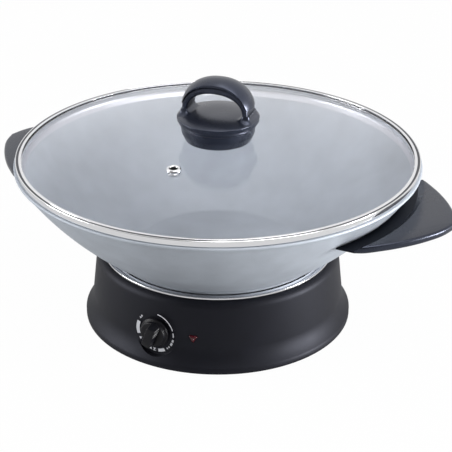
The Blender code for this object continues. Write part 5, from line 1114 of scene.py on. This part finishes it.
def make_dial():
    profile = rounded([
        (0, DIAL_FACE, 0),
        (DIAL_BODY_RADIUS, DIAL_FACE, 1.2),
        (DIAL_BODY_RADIUS, 3.4 * MM, 0.6),
        (DIAL_SKIRT_RADIUS, 2.4 * MM, 0.7),
        (DIAL_SKIRT_RADIUS, DIAL_GAP, 0.3),
        (0, DIAL_GAP, 0),
    ], parts=5)
    place = DIAL_PLACE @ about("Z", DIAL_POINTER_ANGLE + 90)
    knob = turned("dial_pointer_knob", profile, KNOB_STEPS, place)
    carve(knob, [grip_bar(place)], "UNION", sharp_angle=30)
    placed(knob, "dial", POLYAMIDE, "dial_knob")


def grip_bar(place):
    """The tapered bar across the dial, ribbed along its sides, its pointer end along its own -Y."""
    rows = []
    for height, taper in GRIP_ROWS:
        row = []
        for step in range(GRIP_STEPS):
            along, across = grip_outline(step / GRIP_STEPS)
            rib = 0.0
            if abs(along) <= RIBBED_SHARE:
                wave = math.cos(2 * math.pi * along * GRIP_HALF_LENGTH / RIB_PITCH)
                rib = RIB_DEPTH * 0.5 * (1 + wave)
            width = (GRIP_HALF_WIDTH - rib) * taper
            row.append((across * width, along * GRIP_HALF_LENGTH * taper, height))
        rows.append(row)
    return lofted("dial_grip", rows, place, 30)


def grip_outline(share):
    """A point of the bar's squared-off outline in shares of its half length and half width."""
    turn = 2 * math.pi * share
    along, across = math.sin(turn), math.cos(turn)
    return tuple(math.copysign(abs(part) ** GRIP_SQUARENESS, part) for part in (along, across))


def make_dial_print():
    """The scale's arcs, and its pointers as small triangles."""
    bm = bmesh.new()
    for start, end, out, width in PRINT_ARCS:
        count = max(2, int(abs(end - start) / 4) + 1)
        turns = [start + (end - start) * step / (count - 1) for step in range(count)]
        inner, outer = (
            [bm.verts.new(polar(PRINT_RADIUS + reach * MM, turn, PRINT_THICKNESS)) for turn in turns]
            for reach in (out - width / 2, out + width / 2)
        )
        for step in range(count - 1):
            bm.faces.new((inner[step], outer[step], outer[step + 1], inner[step + 1]))
    for degrees, out, size, tip in PRINT_POINTERS:
        middle = polar(PRINT_RADIUS + out * MM, degrees)
        turns = [degrees + tip + turn for turn in (0, 125, 235)]
        corners = [middle + polar(size * MM, turn, PRINT_THICKNESS) for turn in turns]
        bm.faces.new([bm.verts.new(corner) for corner in corners])
    marks = piece_from("dial_scale_print", bm, DIAL_PLACE)
    placed(marks, "base", PAD_PRINT)


def make_lamp_lens():
    outline = lens_outline(LENS_CORNER_RADIUS, 0.9)
    rows = [
        [(across * share, up * share, height * MM) for across, up in outline] for height, share in LENS_ROWS
    ]
    placed(lofted("lamp_red_lens", rows, LAMP_PLACE, 50), "base", LENS, "lamp_lens")


# Feet


def make_feet():
    for side in ("front_right", "back_right", "back_left", "front_left"):
        low, high = (Vector(corner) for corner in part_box("foot_" + side))
        middle = (low + high) / 2
        radius = (high.x - low.x) / 2
        profile = rounded([
            (0, 4.8 * MM, 0),
            (2.4 * MM, 4.8 * MM, 0.6),
            (3.9 * MM, 4.2 * MM, 0.2),
            (2.6 * MM, 4.1 * MM, 0),
            (2.6 * MM, 1.5 * MM, 0),
            (radius, 1.5 * MM, 0.4),
            (radius - 0.8 * MM, 0, 0.4),
            (0, 0, 0),
        ])
        place = Matrix.Translation((middle.x, middle.y, 0))
        foot = turned("rubber_foot_" + side, profile, SMALL_STEPS, place)
        placed(foot, "base", RUBBER, "foot_" + side)


# Nodes that keep their shape


KEPT_NODES = (
    (ZINC_STEEL, (
        *(kind + side for side in ("_left", "_right") for kind in ("handle_bracket", "element_pin")),
        *("handle_screw_%s_%d" % (side, count) for side in ("left", "right") for count in (1, 2)),
        *(kind + count for kind in ("dish_screw_", "cover_screw_", "plate_bolt_") for count in "123"),
        "knob_washer", "knob_screw", "sensor_strap",
    )),
    (HEATER_STEEL, ("heating_element",)),
    (SHELL_PLASTIC, ("bottom_cover", "inlet_socket")),
    (DRAWN_ALUMINIUM, ("dial_shaft", "thermal_fuse")),
    (BRASS, (
        "knob_insert", "thermostat_nut", "inlet_blade_live", "inlet_blade_neutral", "inlet_blade_earth",
    )),
    (COPPER, ("sensor_bulb", "capillary")),
    (SILICONE, ("knob_seal",)),
    (UREA, ("thermostat", "lamp_holder")),
    (GLASS, ("neon_lamp",)),
    (BROWN_PVC, ("lead_live", "lead_switched", "lamp_lead_live")),
    (BLUE_PVC, ("lead_neutral", "lamp_lead_neutral")),
    (EARTH_PVC, ("lead_earth",)),
)


def finish_kept_nodes():
    for material, names in KEPT_NODES:
        for name in names:
            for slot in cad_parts[name].material_slots:
                slot.material = material


# Floor, lamps and camera


def white_for_the_camera(tree, shader, direct, mirrored):
    """Mixes plain white in for rays from the camera or through glass, and for rays off a mirror."""
    path = add_node(tree, "LightPath").outputs
    seen = add_node(
        tree, "Math", {0: path["Is Camera Ray"], 1: path["Is Transmission Ray"]}, operation="MAXIMUM"
    )
    seen = add_node(tree, "Math", {0: seen, 1: direct}, operation="MULTIPLY")
    glossy = add_node(tree, "Math", {0: path["Is Glossy Ray"], 1: mirrored}, operation="MULTIPLY")
    share = add_node(tree, "Math", {0: seen, 1: glossy}, operation="MAXIMUM")
    white = add_node(tree, "Emission", {"Color": linear("#ffffff")})
    return add_node(tree, "MixShader", {0: share, 1: shader, 2: white})


def make_floor():
    """A wide white floor, which the camera sees as white but for the object's shadow."""
    bm = bmesh.new()
    bmesh.ops.create_circle(bm, cap_ends=True, segments=96, radius=9.0)
    floor = piece_from("floor", bm)
    made = bpy.data.materials.new("white_studio_floor")
    made.use_nodes = True
    tree = made.node_tree
    tree.nodes.clear()
    paint = add_node(tree, "BsdfDiffuse", {"Color": linear("#c0c0c0")})
    mix = white_for_the_camera(tree, paint, FLOOR_WHITE, FLOOR_WHITE_IN_GLOSS)
    add_node(tree, "OutputMaterial", {"Surface": mix})
    floor.data.materials.append(made)


def make_world():
    """White all round, but for the dark part of the studio that the front is turned to."""
    world = bpy.data.worlds.new("studio")
    bpy.context.scene.world = world
    world.use_nodes = True
    tree = world.node_tree
    tree.nodes.clear()
    heading = add_node(tree, "TexCoord").outputs["Generated"]
    toward = add_node(tree, "VectorMath", {0: heading, 1: DARK_SIDE}, operation="DOT_PRODUCT")
    open_side = add_node(
        tree, "MapRange",
        {"Value": toward.outputs["Value"], "From Min": 0.3, "From Max": 0.75, "To Min": 1.0, "To Max": 0.15},
    )
    white = linear("#ffffff")
    room = add_node(tree, "Background", {"Color": white, "Strength": ROOM_STRENGTH})
    dark_room = add_node(tree, "Background", {"Color": white, "Strength": DARK_ROOM_STRENGTH})
    glossy = add_node(tree, "LightPath").outputs["Is Glossy Ray"]
    room = add_node(tree, "MixShader", {0: glossy, 1: room, 2: dark_room})
    mix = white_for_the_camera(tree, room, 1.0, open_side)
    add_node(tree, "OutputWorld", {"Surface": mix})


def make_lamps():
    for name, place, target, size, watts in LAMPS:
        data = bpy.data.lights.new(name, "AREA")
        data.shape = "RECTANGLE"
        data.size, data.size_y = size
        data.energy = watts
        lamp = bpy.data.objects.new(name, data)
        lamp.location = place
        lamp.rotation_euler = (Vector(target) - Vector(place)).to_track_quat("-Z", "Y").to_euler()
        bpy.context.scene.collection.objects.link(lamp)


def make_camera():
    data = bpy.data.cameras.new("photo_camera")
    data.lens = CAMERA_LENS
    data.sensor_width = 36.0
    camera = bpy.data.objects.new("photo_camera", data)
    heading, tilt, roll = CAMERA_TURNS
    turn = about("Z", heading) @ about("X", tilt) @ about("Z", roll)
    camera.matrix_world = Matrix.Translation(CAMERA_PLACE) @ turn
    bpy.context.scene.collection.objects.link(camera)
    bpy.context.scene.camera = camera


def main():
    make_camera()
    make_wok_bowl()
    make_bare_band()
    make_handles()
    make_lid_ring()
    make_lid_glass()
    make_vent()
    make_knob_skirt()
    make_knob_body()
    make_knob_cap()
    make_base_shell()
    make_dish()
    make_hot_plate()
    make_dial()
    make_dial_print()
    make_lamp_lens()
    make_feet()
    finish_kept_nodes()
    make_floor()
    make_world()
    make_lamps()
    bpy.context.scene.view_settings.view_transform = "Standard"


main()
